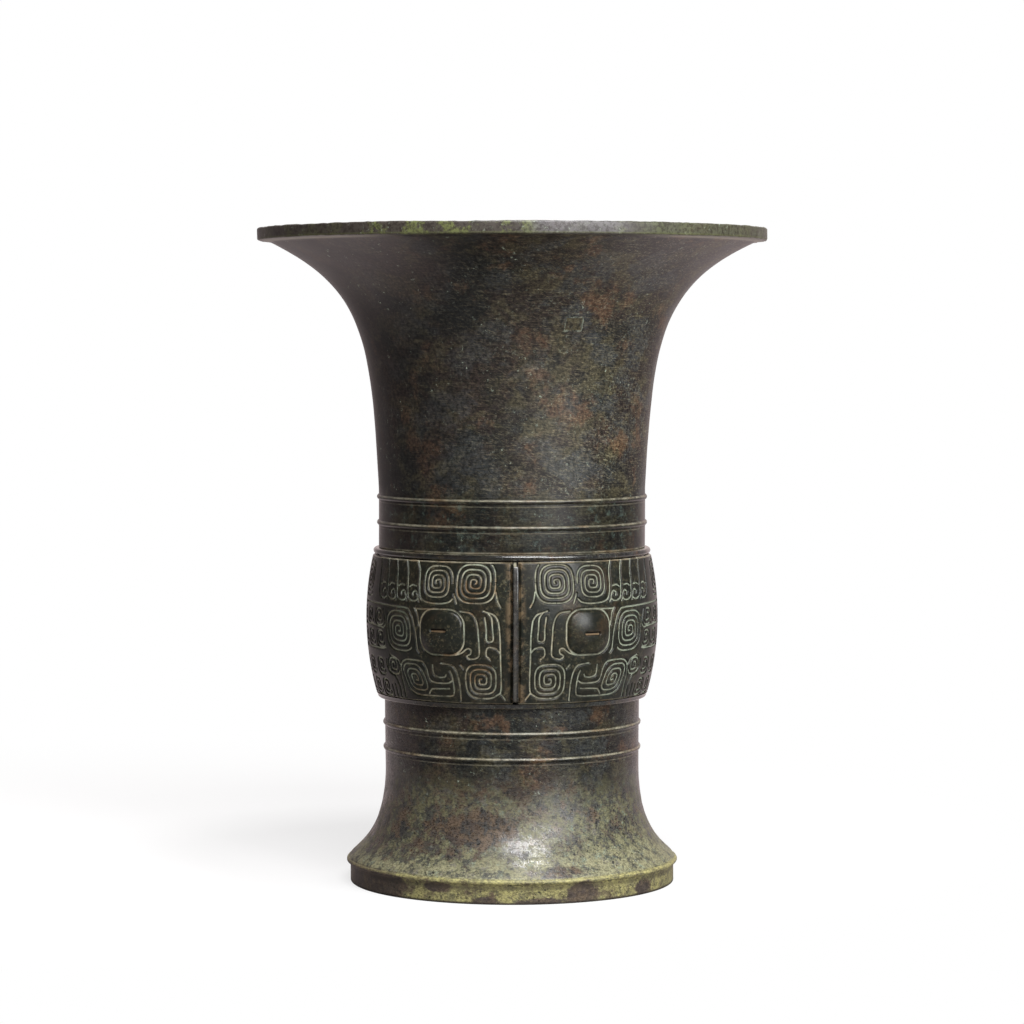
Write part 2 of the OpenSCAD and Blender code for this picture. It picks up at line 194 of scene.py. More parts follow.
# %% [markdown]
# ## The trumpet neck
#
# The neck rises as a plain tube with two string lines, then sweeps out in one long curve to a wide mouth
# with a thick square lip. The flare is one curve with two handles, and the inside is the same curve moved
# in by the wall. The edges of the lip are small arcs, because sharp cast edges wear round.

# %% Neck outline
NECK_R = 53.1
NECK_WALL = 3
LIP_WALL = 4
SPIGOT_R = 51.6
SPIGOT_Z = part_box("neck")[0].z / MM
FLARE_Z = NECK_Z + 23.5
FLARE_LEAVES = (3, 63.7)
FLARE_ARRIVES = (35.8, 17.1)
LIP_H = 4.8
LIP_W = 4.5
LIP_TILT = 0.4
LIP_ROUND = 0.7
FOOT_OF_NECK = 0.5
NECK_STRINGS = (NECK_Z + 10, NECK_Z + 20.2)
FLARE_STEPS = 64

lip_z = RIM_Z - LIP_H
flare_end = (MOUTH_R - LIP_W, lip_z - LIP_TILT)
flare = bezier([(NECK_R, FLARE_Z), (NECK_R + FLARE_LEAVES[0], FLARE_Z + FLARE_LEAVES[1]),
                (flare_end[0] - FLARE_ARRIVES[0], flare_end[1] - FLARE_ARRIVES[1]), flare_end], FLARE_STEPS)
neck_outline = [
    (NECK_R - NECK_WALL, SPIGOT_Z), (SPIGOT_R, SPIGOT_Z), (SPIGOT_R, NECK_Z),
    *arc((NECK_R - FOOT_OF_NECK, NECK_Z + FOOT_OF_NECK), FOOT_OF_NECK, -90, 0, 5),
    *[point for height in NECK_STRINGS for point in string_line(NECK_R, height)],
    *flare,
    *arc((MOUTH_R - LIP_ROUND, lip_z + LIP_ROUND), LIP_ROUND, -80, 0),
    *arc((MOUTH_R - LIP_ROUND, RIM_Z - LIP_ROUND), LIP_ROUND, 0, 90),
    *reversed(beside(flare, NECK_WALL, LIP_WALL)[::2]),
]
neck = lathe("trumpet_neck", neck_outline)
print("neck:", len(neck_outline), "outline points,", len(neck.data.polygons), "faces")

# %% [markdown]
# ### Holes for the spacers
#
# Small bronze plates held the mould's core while the metal was poured, and they stay in the wall for ever.
# The frame has three of them in the neck, so the neck gets three windows a hair larger than the plates.
# Three scaled and turned cubes are joined, and one boolean modifier takes them all away at once.

# %% Cut the windows
SPACER_W = 6.8
SPACER_H = 4.8
SPACER_GAP = 0.1
SPACER_Z = NECK_Z + 88.5
SPACER_TURN = math.radians(20.9)
SPACERS = 3
SPACER_TURNS = [SPACER_TURN + i * 2 * math.pi / SPACERS for i in range(SPACERS)]

cutters = []
for turn in SPACER_TURNS:
    bpy.ops.object.select_all(action="DESELECT")
    bpy.ops.mesh.primitive_cube_add(
        size=MM, location=(NECK_R * math.sin(turn) * MM, -NECK_R * math.cos(turn) * MM, SPACER_Z * MM),
        rotation=(0, 0, turn), scale=(SPACER_W + 2 * SPACER_GAP, NECK_R, SPACER_H + 2 * SPACER_GAP))
    cutters.append(bpy.context.object)
only(*cutters)
bpy.ops.object.join()
cutter = bpy.context.object
windows = neck.modifiers.new("windows", "BOOLEAN")
windows.operation = "DIFFERENCE"
windows.object = cutter
only(neck)
bpy.ops.object.modifier_apply(modifier="windows")
bpy.data.objects.remove(cutter)
print("neck after the windows:", len(neck.data.polygons), "faces")

# %% [markdown]
# ### Three thousand years of wear
#
# A perfect lathe shape looks like plastic. Cloud noise through a Displace modifier moves the surface by a
# few tenths of a millimetre, and a second, finer one nibbles the lip, where a vertex group lets it work.

# %% Wear helpers, and the worn neck
def worn(piece, name, strength, size, group=""):
    """Pushes the surface in and out by cloud noise of this size, in millimetres."""
    clouds = bpy.data.textures.new(name, "CLOUDS")
    clouds.noise_scale = size * MM
    clouds.noise_depth = 2
    wear = piece.modifiers.new(name, "DISPLACE")
    wear.texture = clouds
    wear.texture_coords = "LOCAL"
    wear.strength = strength * MM
    wear.mid_level = 0.5
    wear.vertex_group = group
    only(piece)
    bpy.ops.object.modifier_apply(modifier=name)


def band(piece, name, test):
    """A vertex group of the points whose radius and height, in millimetres, pass the test."""
    group = piece.vertex_groups.new(name=name)
    chosen = [v.index for v in piece.data.vertices
              if test(math.hypot(v.co.x, v.co.y) / MM, v.co.z / MM)]
    group.add(chosen, 1, "REPLACE")
    return len(chosen)


LIP_EDGE = 1.6
nicked = band(neck, "lip", lambda r, z: r > MOUTH_R - LIP_EDGE)
worn(neck, "cast", strength=0.5, size=30)
worn(neck, "nicks", strength=0.5, size=3.2, group="lip")
print("points in the worn lip:", nicked)

# %% [markdown]
# ## The belly shell
#
# The belly bulges like a barrel, and the mask panels lie in a shallow recess between two borders. The upper
# one is a round, shiny bead that hides the joint with the neck, and the lower one is a thin edge. The recess
# could be cut in afterwards, but as part of the outline it meets the panels' backs at every height.

# %% Belly outline
BELLY_R = 58.2
BULGE_R = 113.2
BULGE_Z = BELLY_Z + 31.8
MASK_T = 2
FIT = 0.1
BELLY_RIM = 3.2
FLOOR_T = 3
FLOOR_SEAT = 4.4
BELLY_WALL = 2.2
CAVITY_R = BELLY_R - MASK_T - FIT - BELLY_WALL
CAVITY_HANDLE = 15.9
BEAD_R = 1.2
BEAD_IN = 0.1
BORDER_ROUND = 0.7
BELLY_STEPS = 24
CAVITY_STEPS = 20


def belly_at(z):
    """Radius of the bulge at a height."""
    return BELLY_R - BULGE_R + np.sqrt(BULGE_R ** 2 - (z - BULGE_Z) ** 2)


tenon_r = belly_at(BELLY_Z) - BELLY_RIM
shelf_z = SEAT_Z + FLOOR_T
shelf_r = tenon_r - FIT - FLOOR_SEAT
recess = [(belly_at(z) - MASK_T - FIT, z) for z in np.linspace(MASK_LO, MASK_HI, BELLY_STEPS)]
cavity = bezier([(NECK_R - NECK_WALL, SPIGOT_Z - FIT), (CAVITY_R, BULGE_Z + CAVITY_HANDLE),
                 (CAVITY_R, BULGE_Z - CAVITY_HANDLE), (shelf_r + FLOOR_SEAT / 2, shelf_z + FLOOR_T)],
                CAVITY_STEPS)
belly_outline = [
    (tenon_r, BELLY_Z),
    *arc((belly_at(BELLY_Z) - BORDER_ROUND, BELLY_Z + BORDER_ROUND), BORDER_ROUND, -90, 10),
    (belly_at(MASK_LO), MASK_LO),
    *recess,
    *arc((belly_at(MASK_HI) - BEAD_IN - BEAD_R, NECK_Z - BEAD_R), BEAD_R, -62, 90, 11),
    (SPIGOT_R + FIT, NECK_Z), (SPIGOT_R + FIT, SPIGOT_Z - FIT),
    *cavity,
    (shelf_r, shelf_z), (tenon_r, shelf_z),
]
belly = lathe("belly_shell", belly_outline)
worn(belly, "cast", strength=0.25, size=24)
print("belly:", len(belly_outline), "outline points,", len(belly.data.polygons), "faces")

# %% [markdown]
# ## The ring foot
#
# The foot starts as a stem with two string lines, spreads in a curve to a crisp ledge, and stands on an
# upright ring set back under that ledge. Its stem reaches up inside the belly and holds the floor. One closed
# outline holds all of it, so the undercut and the hollow inside need no cutting. The wear leaves out the
# points on the ground, so that the vessel stands level.

# %% Foot outline
FOOT_R = 50.9
WAIST_R = 50.6
WAIST_Z = 46
FOOT_WALL = 3
LEDGE_Z = 8.7
LEDGE_ROUND = 0.9
RING_R = 64.7
RING_H = 6.7
RING_W = 4.6
RING_ROUND = 0.4
FOOT_STRINGS = (BELLY_Z - 10.3, BELLY_Z - 20.3)
FOOT_STEPS = 44
SPREAD_LEAVES = 28.8
SPREAD_ARRIVES = (1.6, 3.9)
STANDING = 0.6


def stem_at(z):
    """Radius of the stem, which narrows a little to the waist."""
    return WAIST_R + (FOOT_R - WAIST_R) * (z - WAIST_Z) / (BELLY_Z - WAIST_Z)


ledge_in = LEDGE_R - LEDGE_ROUND
ledge_top = LEDGE_Z + LEDGE_ROUND
spread = bezier([(WAIST_R, WAIST_Z), (WAIST_R, WAIST_Z - SPREAD_LEAVES),
                 (ledge_in - SPREAD_ARRIVES[0], ledge_top + SPREAD_ARRIVES[1]), (ledge_in, ledge_top)],
                FOOT_STEPS)
inner_spread = [p for p in beside(spread, -FOOT_WALL, -FOOT_WALL)[::2] if p[0] < RING_R - RING_W]
foot_outline = [
    (tenon_r - FIT - FOOT_WALL, SEAT_Z), (tenon_r - FIT, SEAT_Z), (tenon_r - FIT, BELLY_Z), (FOOT_R, BELLY_Z),
    *[point for height in FOOT_STRINGS for point in reversed(string_line(stem_at(height), height))],
    *spread,
    *arc((ledge_in, LEDGE_Z), LEDGE_ROUND, 70, -80, 9),
    (RING_R, RING_H),
    *arc((RING_R - RING_ROUND, RING_ROUND), RING_ROUND, 0, -90, 5),
    *arc((RING_R - RING_W + RING_ROUND, RING_ROUND), RING_ROUND, -90, -180, 5),
    (RING_R - RING_W, RING_H),
    *reversed(inner_spread),
    (FOOT_R - FOOT_WALL, BELLY_Z - FOOT_WALL), (tenon_r - FIT - FOOT_WALL, BELLY_Z - FOOT_WALL),
]
foot = lathe("ring_foot", foot_outline)
band(foot, "above_ground", lambda r, z: z > STANDING)
worn(foot, "cast", strength=0.4, size=26, group="above_ground")
worn(foot, "pitted", strength=0.22, size=4, group="above_ground")
print("foot:", len(foot_outline), "outline points,", len(foot.data.polygons), "faces")

# %% [markdown]
# ## The mask, drawn as strokes
#
# The mask band is the caster's masterpiece: two staring eyes, a nose ridge, curled horns, a jaw with a fang,
# feathers along the top, and square spirals that fill every gap. All of it is cut into the surface as
# grooves of one width. So the drawing is a list of strokes, on a flat sheet whose x runs round the belly in
# millimetres from the nose and whose y is the height above the belly's foot. One half is drawn, and all four
# panels come from it.

# %% Strokes of the mask
DEGREE = BELLY_R * math.pi / 180
STROKE_STEP = 0.1


def stroke(points):
    """A smooth stroke through (degrees from the nose, height) points, as closely spaced points."""
    points = np.array(points, float) * (DEGREE, 1)
    padded = np.vstack([2 * points[0] - points[1], points, 2 * points[-1] - points[-2]])
    run = []
    for before, start, end, after in zip(padded, padded[1:], padded[2:], padded[3:]):
        count = max(2, math.ceil(np.linalg.norm(end - start) / STROKE_STEP))
        t = np.linspace(0, 1, count, endpoint=False)[:, None]
        run.append(0.5 * (2 * start + (end - before) * t + (2 * before - 5 * start + 4 * end - after) * t ** 2
                          + (3 * start - before - 3 * end + after) * t ** 3))
    return np.vstack([*run, points[-1:]])


def squared(x):
    """Turns the round swing of a sine into a squarer one."""
    return np.sign(x) * np.abs(x) ** (2 / 3)


SPIRAL_EYE = 0.5


def spiral(centre, reach, turns, end, way, lean=0):
    """A squared spiral: it grows to its reach at the end angle, and way 1 turns against the clock."""
    share = np.linspace(SPIRAL_EYE / reach, 1, math.ceil(turns * reach * math.pi / STROKE_STEP))
    angle = np.radians(end - way * 360 * turns * (1 - share))
    up = reach * share * squared(np.sin(angle))
    across = reach * share * squared(np.cos(angle)) + lean * up
    return np.column_stack([centre[0] * DEGREE + across, centre[1] + up])


SPIRALS = [
    spiral((16, 49), 8.6, 4.5, 135, -1),
    spiral((31.8, 48.7), 6.9, 3.9, 180, 1),
    spiral((51.1, 29.5), 8.4, 4.4, 225, -1, 0.08),
    spiral((13.3, 11.2), 7.4, 3.9, 225, -1),
    spiral((43.1, 10.8), 6.5, 3.35, 270, -1, 0.35),
    spiral((79.5, 48.6), 7.6, 4, 225, -1),
]
CURL_PLACES = [(65.6, 34), (74.6, 34), (83.6, 34), (64.4, 25.4), (73.4, 25.4), (82.4, 25.4), (56, 15.2),
               (66, 14.5), (75.5, 14.5), (84.5, 14.5), (64, 6.2), (73, 6.2), (82, 6.2)]
CURL = dict(reach=3.9, turns=2.3, end=200, way=-1)
CURLS = [spiral(place, **CURL) for place in CURL_PLACES]
print(len(SPIRALS), "spirals and", len(CURLS), "curls")

# %% [markdown]
# ### The large forms of the mask
#
# The horn, the bracket of the eye, the jaw, the claw and the feathers are free curves, cut by hand. No
# formula gives them, so each is a few listed points, in degrees from the nose and millimetres up, with a
# smooth stroke through them. One feather is drawn and then repeated along the upper edge.

# %% Horn, jaw, brow and feathers
HORN = [(12.3, 38.2), (10.2, 37.5), (8.2, 36.7), (6.9, 35), (6.3, 32.5), (5.9, 28), (5.8, 22), (5.7, 16),
        (5.6, 11.4), (5.9, 6.8), (7.5, 5.3)]
HORN_FORK = [(10.3, 37.2), (9.1, 35.3), (8.8, 31.3), (8.6, 26.9), (11, 26.9), (11.2, 31.3), (11.8, 35.7)]
HORN_HOOK = [(5.9, 22), (7.5, 23.7), (9.8, 24.2), (11.1, 23.4), (11.2, 21), (9.6, 19.3)]
HORN_TAILS = [[(6, 6.2), (4.1, 3.7)], [(5.6, 39.6), (6.9, 42.2), (7.6, 45.5)],
              [(24.4, 44.5), (23.1, 40.9)]]
EYE_BRACKET = [(21.5, 37.9), (17.5, 37.3), (15.5, 35.4), (14.5, 32), (14.3, 28.9), (14, 24), (14.1, 21),
               (15.5, 19.8), (17.8, 19.5), (18.9, 20.6), (17.5, 21.6), (17.3, 23.2), (18.8, 23.5), (21, 21.9),
               (23.5, 21), (25.7, 20.8)]
BROW = [[(33, 38.4), (41.6, 38.2)], [(42, 38.6), (40.6, 36.3), (39.9, 32)]]
EAR = [[(84, 38.6), (72, 38.7), (63, 38.6), (52, 38.4), (47.2, 38.2), (45.1, 37.4), (43.4, 35.1), (42.4, 32),
        (41.6, 28.7), (41.2, 24.5), (41, 22.5), (39.8, 21)],
       [(62.5, 29.5), (66.6, 29.8), (76.4, 30), (86, 30)], [(61.3, 36.8), (59.9, 31.7), (62, 29.6)],
       [(60.5, 21.7), (63.3, 21.2), (69.4, 21.1), (86, 21)]]
JAW = [[(22.6, 3), (22.5, 7.4), (22.7, 10.5), (23.3, 13.7), (24.3, 15.8), (25.8, 16.9), (30.1, 17.5)],
       [(41, 4.3), (35.4, 4.3), (27, 4.6), (25.4, 6), (25.2, 8), (25.4, 10.9), (25.8, 13.1), (26.5, 14.6)],
       [(26, 10.6), (27.6, 9.7), (31.3, 9.5), (34.2, 9.7), (35.7, 10.4), (36.5, 12), (37, 14.6), (38.3, 17),
        (40.3, 17.8), (44.7, 18), (48, 17.8), (50.3, 16.6), (51.2, 14.2), (51.3, 11), (50.7, 8), (50.6, 3)],
       [(27.3, 7.5), (34.7, 7.1), (36.2, 6.4), (37.1, 5.2)], [(20.4, 15.6), (21.7, 17.1)]]
FANG = [(28.3, 13), (28.9, 12.1), (31, 11.8), (33.3, 12.4), (34, 13.9), (34.1, 16.6)]
CLAW = [[(51.5, 15.8), (53, 17.6), (57.5, 19)], [(56.2, 7.5), (55.9, 3)], [(58.8, 7), (58.7, 3)],
        [(60.2, 17), (60.4, 14.8), (59, 12.4), (55.5, 11.2), (53.9, 8.5), (53.1, 6), (53.4, 3)]]
CREST = [(42.3, 57), (40.7, 53), (40.4, 48), (39.6, 43.5), (37.5, 41.3), (31.4, 40.6), (26.8, 41.2),
         (24.9, 42.6)]
FEATHER = [[(2.2, 57), (0.6, 53), (0, 47), (-0.5, 43), (-2, 41.4), (-4.4, 41.3), (-5.7, 42.4), (-5.4, 44),
            (-4.2, 45), (-3, 44.4), (-3.4, 43.2)],
           [(-4.6, 47), (-2.3, 47.3), (-0.9, 46.6)], [(-5.6, 42.2), (-6.6, 40.9)]]
FEATHERS = 4
FEATHER_FROM = 46.5
FEATHER_STEP = 6.5

drawn = [HORN, HORN_FORK, HORN_HOOK, *HORN_TAILS, EYE_BRACKET, *BROW, *EAR, *JAW, FANG, *CLAW, CREST]
for i in range(FEATHERS):
    at = FEATHER_FROM + FEATHER_STEP * i
    drawn += [[(at + x, y) for x, y in part] for part in FEATHER]
strokes = np.vstack([*SPIRALS, *CURLS, *map(stroke, drawn)])
print("strokes:", len(drawn) + len(SPIRALS) + len(CURLS), "with", len(strokes), "points")

# %% [markdown]
# ## Carving a panel
#
# A fine grid is wrapped on the bulge, and every point is pressed in by how near it lies to a stroke: a
# search tree answers that for a hundred thousand points in a moment. The eye is the opposite, a rounded
# dome that stands out, with a ring groove round it and a slit for the pupil. The depth is kept as an
# attribute on the points, so that the finish can lay pale patina in the grooves.

# %% Heights over the sheet
GROOVE_DEEP = 0.7
GROOVE_FLOOR = 0.15
GROOVE_EDGE = 0.58
EDGE_ROUND = 0.7
EDGE_DROP = 0.55
NOSE_ROUND = 1.1
NOSE_DROP = 0.9
EYE_AT = 29.6
EYE_UP = 29.6
EYE_HALF = (9.3, 8.4)
EYE_CORNER = 6
EYE_OUT = 2.4
EYE_DOME = 24
EYE_LEAST = 0.5
PUPIL_RIGHT = (0.4, -0.5)
PUPIL_LEFT = (0.2, 0.7)
PUPIL_HALF = (3.4, 0.75)
EYE_RIM = (-0.7, 0.1)
EYE_RING_IN = (-0.1, 0.35)
EYE_RING_OUT = (0.7, 1.2)
PUPIL_EDGE = (-0.35, 0.2)
PUPIL_SPLIT = (-0.15, 0.25)


def ease(x, start, end):
    """0 before start, 1 after end, and a soft step between them."""
    t = np.clip((x - start) / (end - start), 0, 1)
    return t * t * (3 - 2 * t)


def rounded_box(x, y, half, corner):
    """Distance outside a rounded rectangle, negative inside it."""
    over_x = np.abs(x) - half[0] + corner
    over_y = np.abs(y) - half[1] + corner
    outside = np.hypot(np.maximum(over_x, 0), np.maximum(over_y, 0))
    return outside + np.minimum(np.maximum(over_x, over_y), 0) - corner


def near_strokes(x, y):
    """Distance from each place on the sheet to the nearest stroke."""
    tree = KDTree(len(strokes))
    for i, point in enumerate(strokes):
        tree.insert((*point, 0), i)
    tree.balance()
    return np.array([tree.find((a, b, 0))[2] for a, b in zip(x, y)])


def relief(x, y, pupil_at):
    """How far the panel stands out at each place, how much of a groove it is and how much of the pupil, full
    in its lower half, which the finish paints lighter as the lit wall.
    """
    groove = 1 - ease(near_strokes(x, y), GROOVE_FLOOR, GROOVE_EDGE)
    eye_x = x - EYE_AT * DEGREE
    eye_y = y - EYE_UP
    eye_edge = rounded_box(eye_x, eye_y, EYE_HALF, EYE_CORNER)
    dome = np.maximum(EYE_OUT - (eye_x ** 2 + eye_y ** 2) / (2 * EYE_DOME), EYE_LEAST)
    inside = 1 - ease(eye_edge, *EYE_RIM)
    ring = ease(eye_edge, *EYE_RING_IN) * (1 - ease(eye_edge, *EYE_RING_OUT))
    pupil_edge = rounded_box(eye_x - pupil_at[0], eye_y - pupil_at[1], PUPIL_HALF, PUPIL_HALF[1])
    pupil = 1 - ease(pupil_edge, *PUPIL_EDGE)
    groove = np.maximum(groove * (eye_edge > 0), ring)
    edge = np.minimum(y - (MASK_LO - BELLY_Z), MASK_HI - BELLY_Z - y)
    drop = EDGE_DROP * (1 - ease(edge, 0, EDGE_ROUND))
    drop = np.maximum(drop, NOSE_DROP * (1 - ease(x - x.min(), 0, NOSE_ROUND)))
    out = dome * inside - np.maximum(GROOVE_DEEP * groove, drop) - pupil
    # The lower half of the pupil is marked apart, so that the finish can paint its lit lower wall lighter.
    lit_lower_half = 1 - ease(eye_y - pupil_at[1], *PUPIL_SPLIT)
    return out, np.maximum(groove, pupil), pupil * (1 + lit_lower_half) / 2


print("grooves", GROOVE_DEEP, "mm deep, eyes", EYE_OUT, "mm out")

# %% [markdown]
# ### A carved face and a plain back
#
# A panel is a curved plate that fills a quarter of the recess. A Solidify modifier would repeat the carving
# on its hidden side, so a coarse plain grid makes the back, and bridging the two open edges closes the solid.

# %% Carve the right front panel
NOSE_GAP = 1.2
PANEL_FROM = math.degrees(math.asin(NOSE_GAP / BELLY_R))
PANEL_TO = 89.95
CARVED_GRID = (388, 244)
BACK_GRID = (44, 28)
CARVED_SHARP = math.radians(60)


def wrapped(name, cells, shape):
    """A grid bent round the bulge: shape gives how far it stands out at each place on the sheet."""
    bpy.ops.object.select_all(action="DESELECT")
    bpy.ops.mesh.primitive_grid_add(x_subdivisions=cells[0], y_subdivisions=cells[1], size=1)
    sheet = bpy.context.object
    sheet.name = name
    flat = np.empty(len(sheet.data.vertices) * 3)
    sheet.data.vertices.foreach_get("co", flat)
    u, v, _ = flat.reshape(-1, 3).T + 0.5
    degrees = PANEL_FROM + (PANEL_TO - PANEL_FROM) * u
    z = MASK_LO + (MASK_HI - MASK_LO) * v
    out, *marks = shape(degrees * DEGREE, z - BELLY_Z)
    tilt = np.arcsin((z - BULGE_Z) / BULGE_R)
    r = belly_at(z) + out * np.cos(tilt)
    z = z + out * np.sin(tilt)
    turn = np.radians(degrees)
    placed = np.column_stack([r * np.sin(turn), -r * np.cos(turn), z]) * MM
    sheet.data.vertices.foreach_set("co", placed.ravel())
    return sheet, marks


def carved(name, pupil_at):
    """A solid panel of the right front: a carved face, a plain back, and walls between them."""
    panel, marks = wrapped(name, CARVED_GRID, lambda x, y: relief(x, y, pupil_at))
    for mark, values in zip(("carving", "pupil"), marks):
        panel.data.attributes.new(mark, "FLOAT", "POINT").data.foreach_set("value", values.astype(np.float32))
    back, _ = wrapped("panel_back", BACK_GRID, lambda x, y: (np.full(len(x), -MASK_T),))
    only(back, panel)
    bpy.ops.object.join()
    bpy.ops.object.mode_set(mode="EDIT")
    bpy.ops.mesh.select_mode(type="EDGE")
    bpy.ops.mesh.select_all(action="DESELECT")
    bpy.ops.mesh.select_non_manifold(extend=False, use_wire=False, use_multi_face=False,
                                     use_non_contiguous=False, use_verts=False)
    bpy.ops.mesh.bridge_edge_loops()
    bpy.ops.object.mode_set(mode="OBJECT")
    close_up(panel)
    bpy.ops.object.shade_smooth_by_angle(angle=CARVED_SHARP)
    return panel


right_panel = carved("mask_front_right", PUPIL_RIGHT)
unturned_panel = carved("panel_to_mirror", PUPIL_LEFT)
print("panel:", len(right_panel.data.vertices), "points, deepest groove", GROOVE_DEEP, "mm")

# %% [markdown]
# ### Four panels from two
#
# The two sides of the nose differ only in the pupil, and the back of the vessel repeats the front. A negative
# scale mirrors the left panel and a half turn brings copies to the back. The scale and turn are applied to
# the mesh, which a mirror leaves inside out, so the normals are worked out again.

# %% Copy the panel
def copied(piece, name, turn=0, mirrored=False):
    """A copy with a mesh of its own, mirrored across the nose or turned round the axis."""
    only(piece)
    bpy.ops.object.duplicate(linked=False)
    copy = bpy.context.object
    copy.name = name
    copy.rotation_euler.z = turn
    copy.scale.x = -1 if mirrored else 1
    bpy.ops.object.transform_apply(location=False, rotation=True, scale=True)
    if mirrored:
        close_up(copy)
    return copy


left_panel = copied(unturned_panel, "mask_front_left", mirrored=True)
bpy.data.objects.remove(unturned_panel)
panels = {
    "front_mask_right": right_panel,
    "front_mask_left": left_panel,
    "back_mask_right": copied(right_panel, "mask_back_right", turn=math.pi),
    "back_mask_left": copied(left_panel, "mask_back_left", turn=math.pi),
}
print("panels:", sorted(item.name for item in panels.values()))

# %% [markdown]
# ## The nose ridges
#
# A narrow bar runs down the middle of each mask and hides the joint of the mould. It starts as a cube cut
# into short lengths, which then follow the bulge. Its ends are chamfered, and a Bevel modifier rounds it.

# %% Make the ridges
RIDGE_W = 2.2
RIDGE_OUT = 1.9
RIDGE_CUT = 1.5
RIDGE_LENGTHS = 36
RIDGE_ROUND = 0.45
RIDGE_SEGMENTS = 4
RIDGE_SHARP = math.radians(30)

bpy.ops.object.select_all(action="DESELECT")
bpy.ops.mesh.primitive_cube_add(size=1)
ridge = bpy.context.object
ridge.name = "nose_ridge_front"
bpy.ops.object.mode_set(mode="EDIT")
bpy.ops.mesh.select_mode(type="EDGE")
bpy.ops.mesh.select_all(action="DESELECT")
bpy.ops.object.mode_set(mode="OBJECT")
for edge in ridge.data.edges:
    low, high = (ridge.data.vertices[i].co for i in edge.vertices)
    edge.select = abs(low.z - high.z) > 0.5
bpy.ops.object.mode_set(mode="EDIT")
bpy.ops.mesh.subdivide(number_cuts=RIDGE_LENGTHS)
bpy.ops.object.mode_set(mode="OBJECT")
for vertex in ridge.data.vertices:
    front = vertex.co.y < 0
    cut = RIDGE_CUT if front else 0
    z = MASK_LO + cut + (MASK_HI - MASK_LO - FIT - 2 * cut) * (vertex.co.z + 0.5)
    r = belly_at(z) + (RIDGE_OUT if front else -MASK_T)
    vertex.co = (vertex.co.x * RIDGE_W * MM, -r * MM, z * MM)
rounding = ridge.modifiers.new("rounding", "BEVEL")
rounding.width = RIDGE_ROUND * MM
rounding.segments = RIDGE_SEGMENTS
rounding.angle_limit = RIDGE_SHARP
only(ridge)
bpy.ops.object.modifier_apply(modifier="rounding")
close_up(ridge)
bpy.ops.object.shade_smooth_by_angle(angle=SHARP)
worn(ridge, "rubbed", strength=0.25, size=5)
ridges = {"front_ridge": ridge, "back_ridge": copied(ridge, "nose_ridge_back", turn=math.pi)}
print("ridge:", len(ridge.data.polygons), "faces")

# %% [markdown]
# ## Shader sums as plain Python
#
# Every finish below is a sum of noises and masks. Wired by hand, such a net of nodes soon gets hard to
# follow, so a small class wraps a socket: a plus or a minus between two values adds a Math node, and numbers
# may stand on either side.

# %% Values
class Value:
    """A number that changes over the surface."""

    def __init__(self, finish, socket):
        self.finish = finish
        self.socket = socket

    def sum(self, operation, first, second):
        return self.finish.add("ShaderNodeMath", {"operation": operation}, {0: first, 1: second})

    def __add__(self, other):
        return self.sum("ADD", self, other)

    def __radd__(self, other):
        return self.sum("ADD", other, self)

    def __sub__(self, other):
        return self.sum("SUBTRACT", self, other)

    def __rsub__(self, other):
        return self.sum("SUBTRACT", other, self)

    def __mul__(self, other):
        return self.sum("MULTIPLY", self, other)

    def __rmul__(self, other):
        return self.sum("MULTIPLY", other, self)

    def __truediv__(self, other):
        return self.sum("DIVIDE", self, other)

    def __rtruediv__(self, other):
        return self.sum("DIVIDE", other, self)

    def __abs__(self):
        return self.sum("ABSOLUTE", self, 0)


print("sums on values: + - * / and abs")

# %% [markdown]
# ### One method for every other node
#
# A finish holds the nodes of one material. Its method add makes any node: the settings are set first, because
# some of them change which sockets the node has, and the sockets then get numbers or links. The short methods
# after it are the words that the finishes are written in, with all lengths in millimetres.

# %% Finishes
PATCH_EDGE = (1.6, 0.4)
FRONT_SIDE = (10, -10)


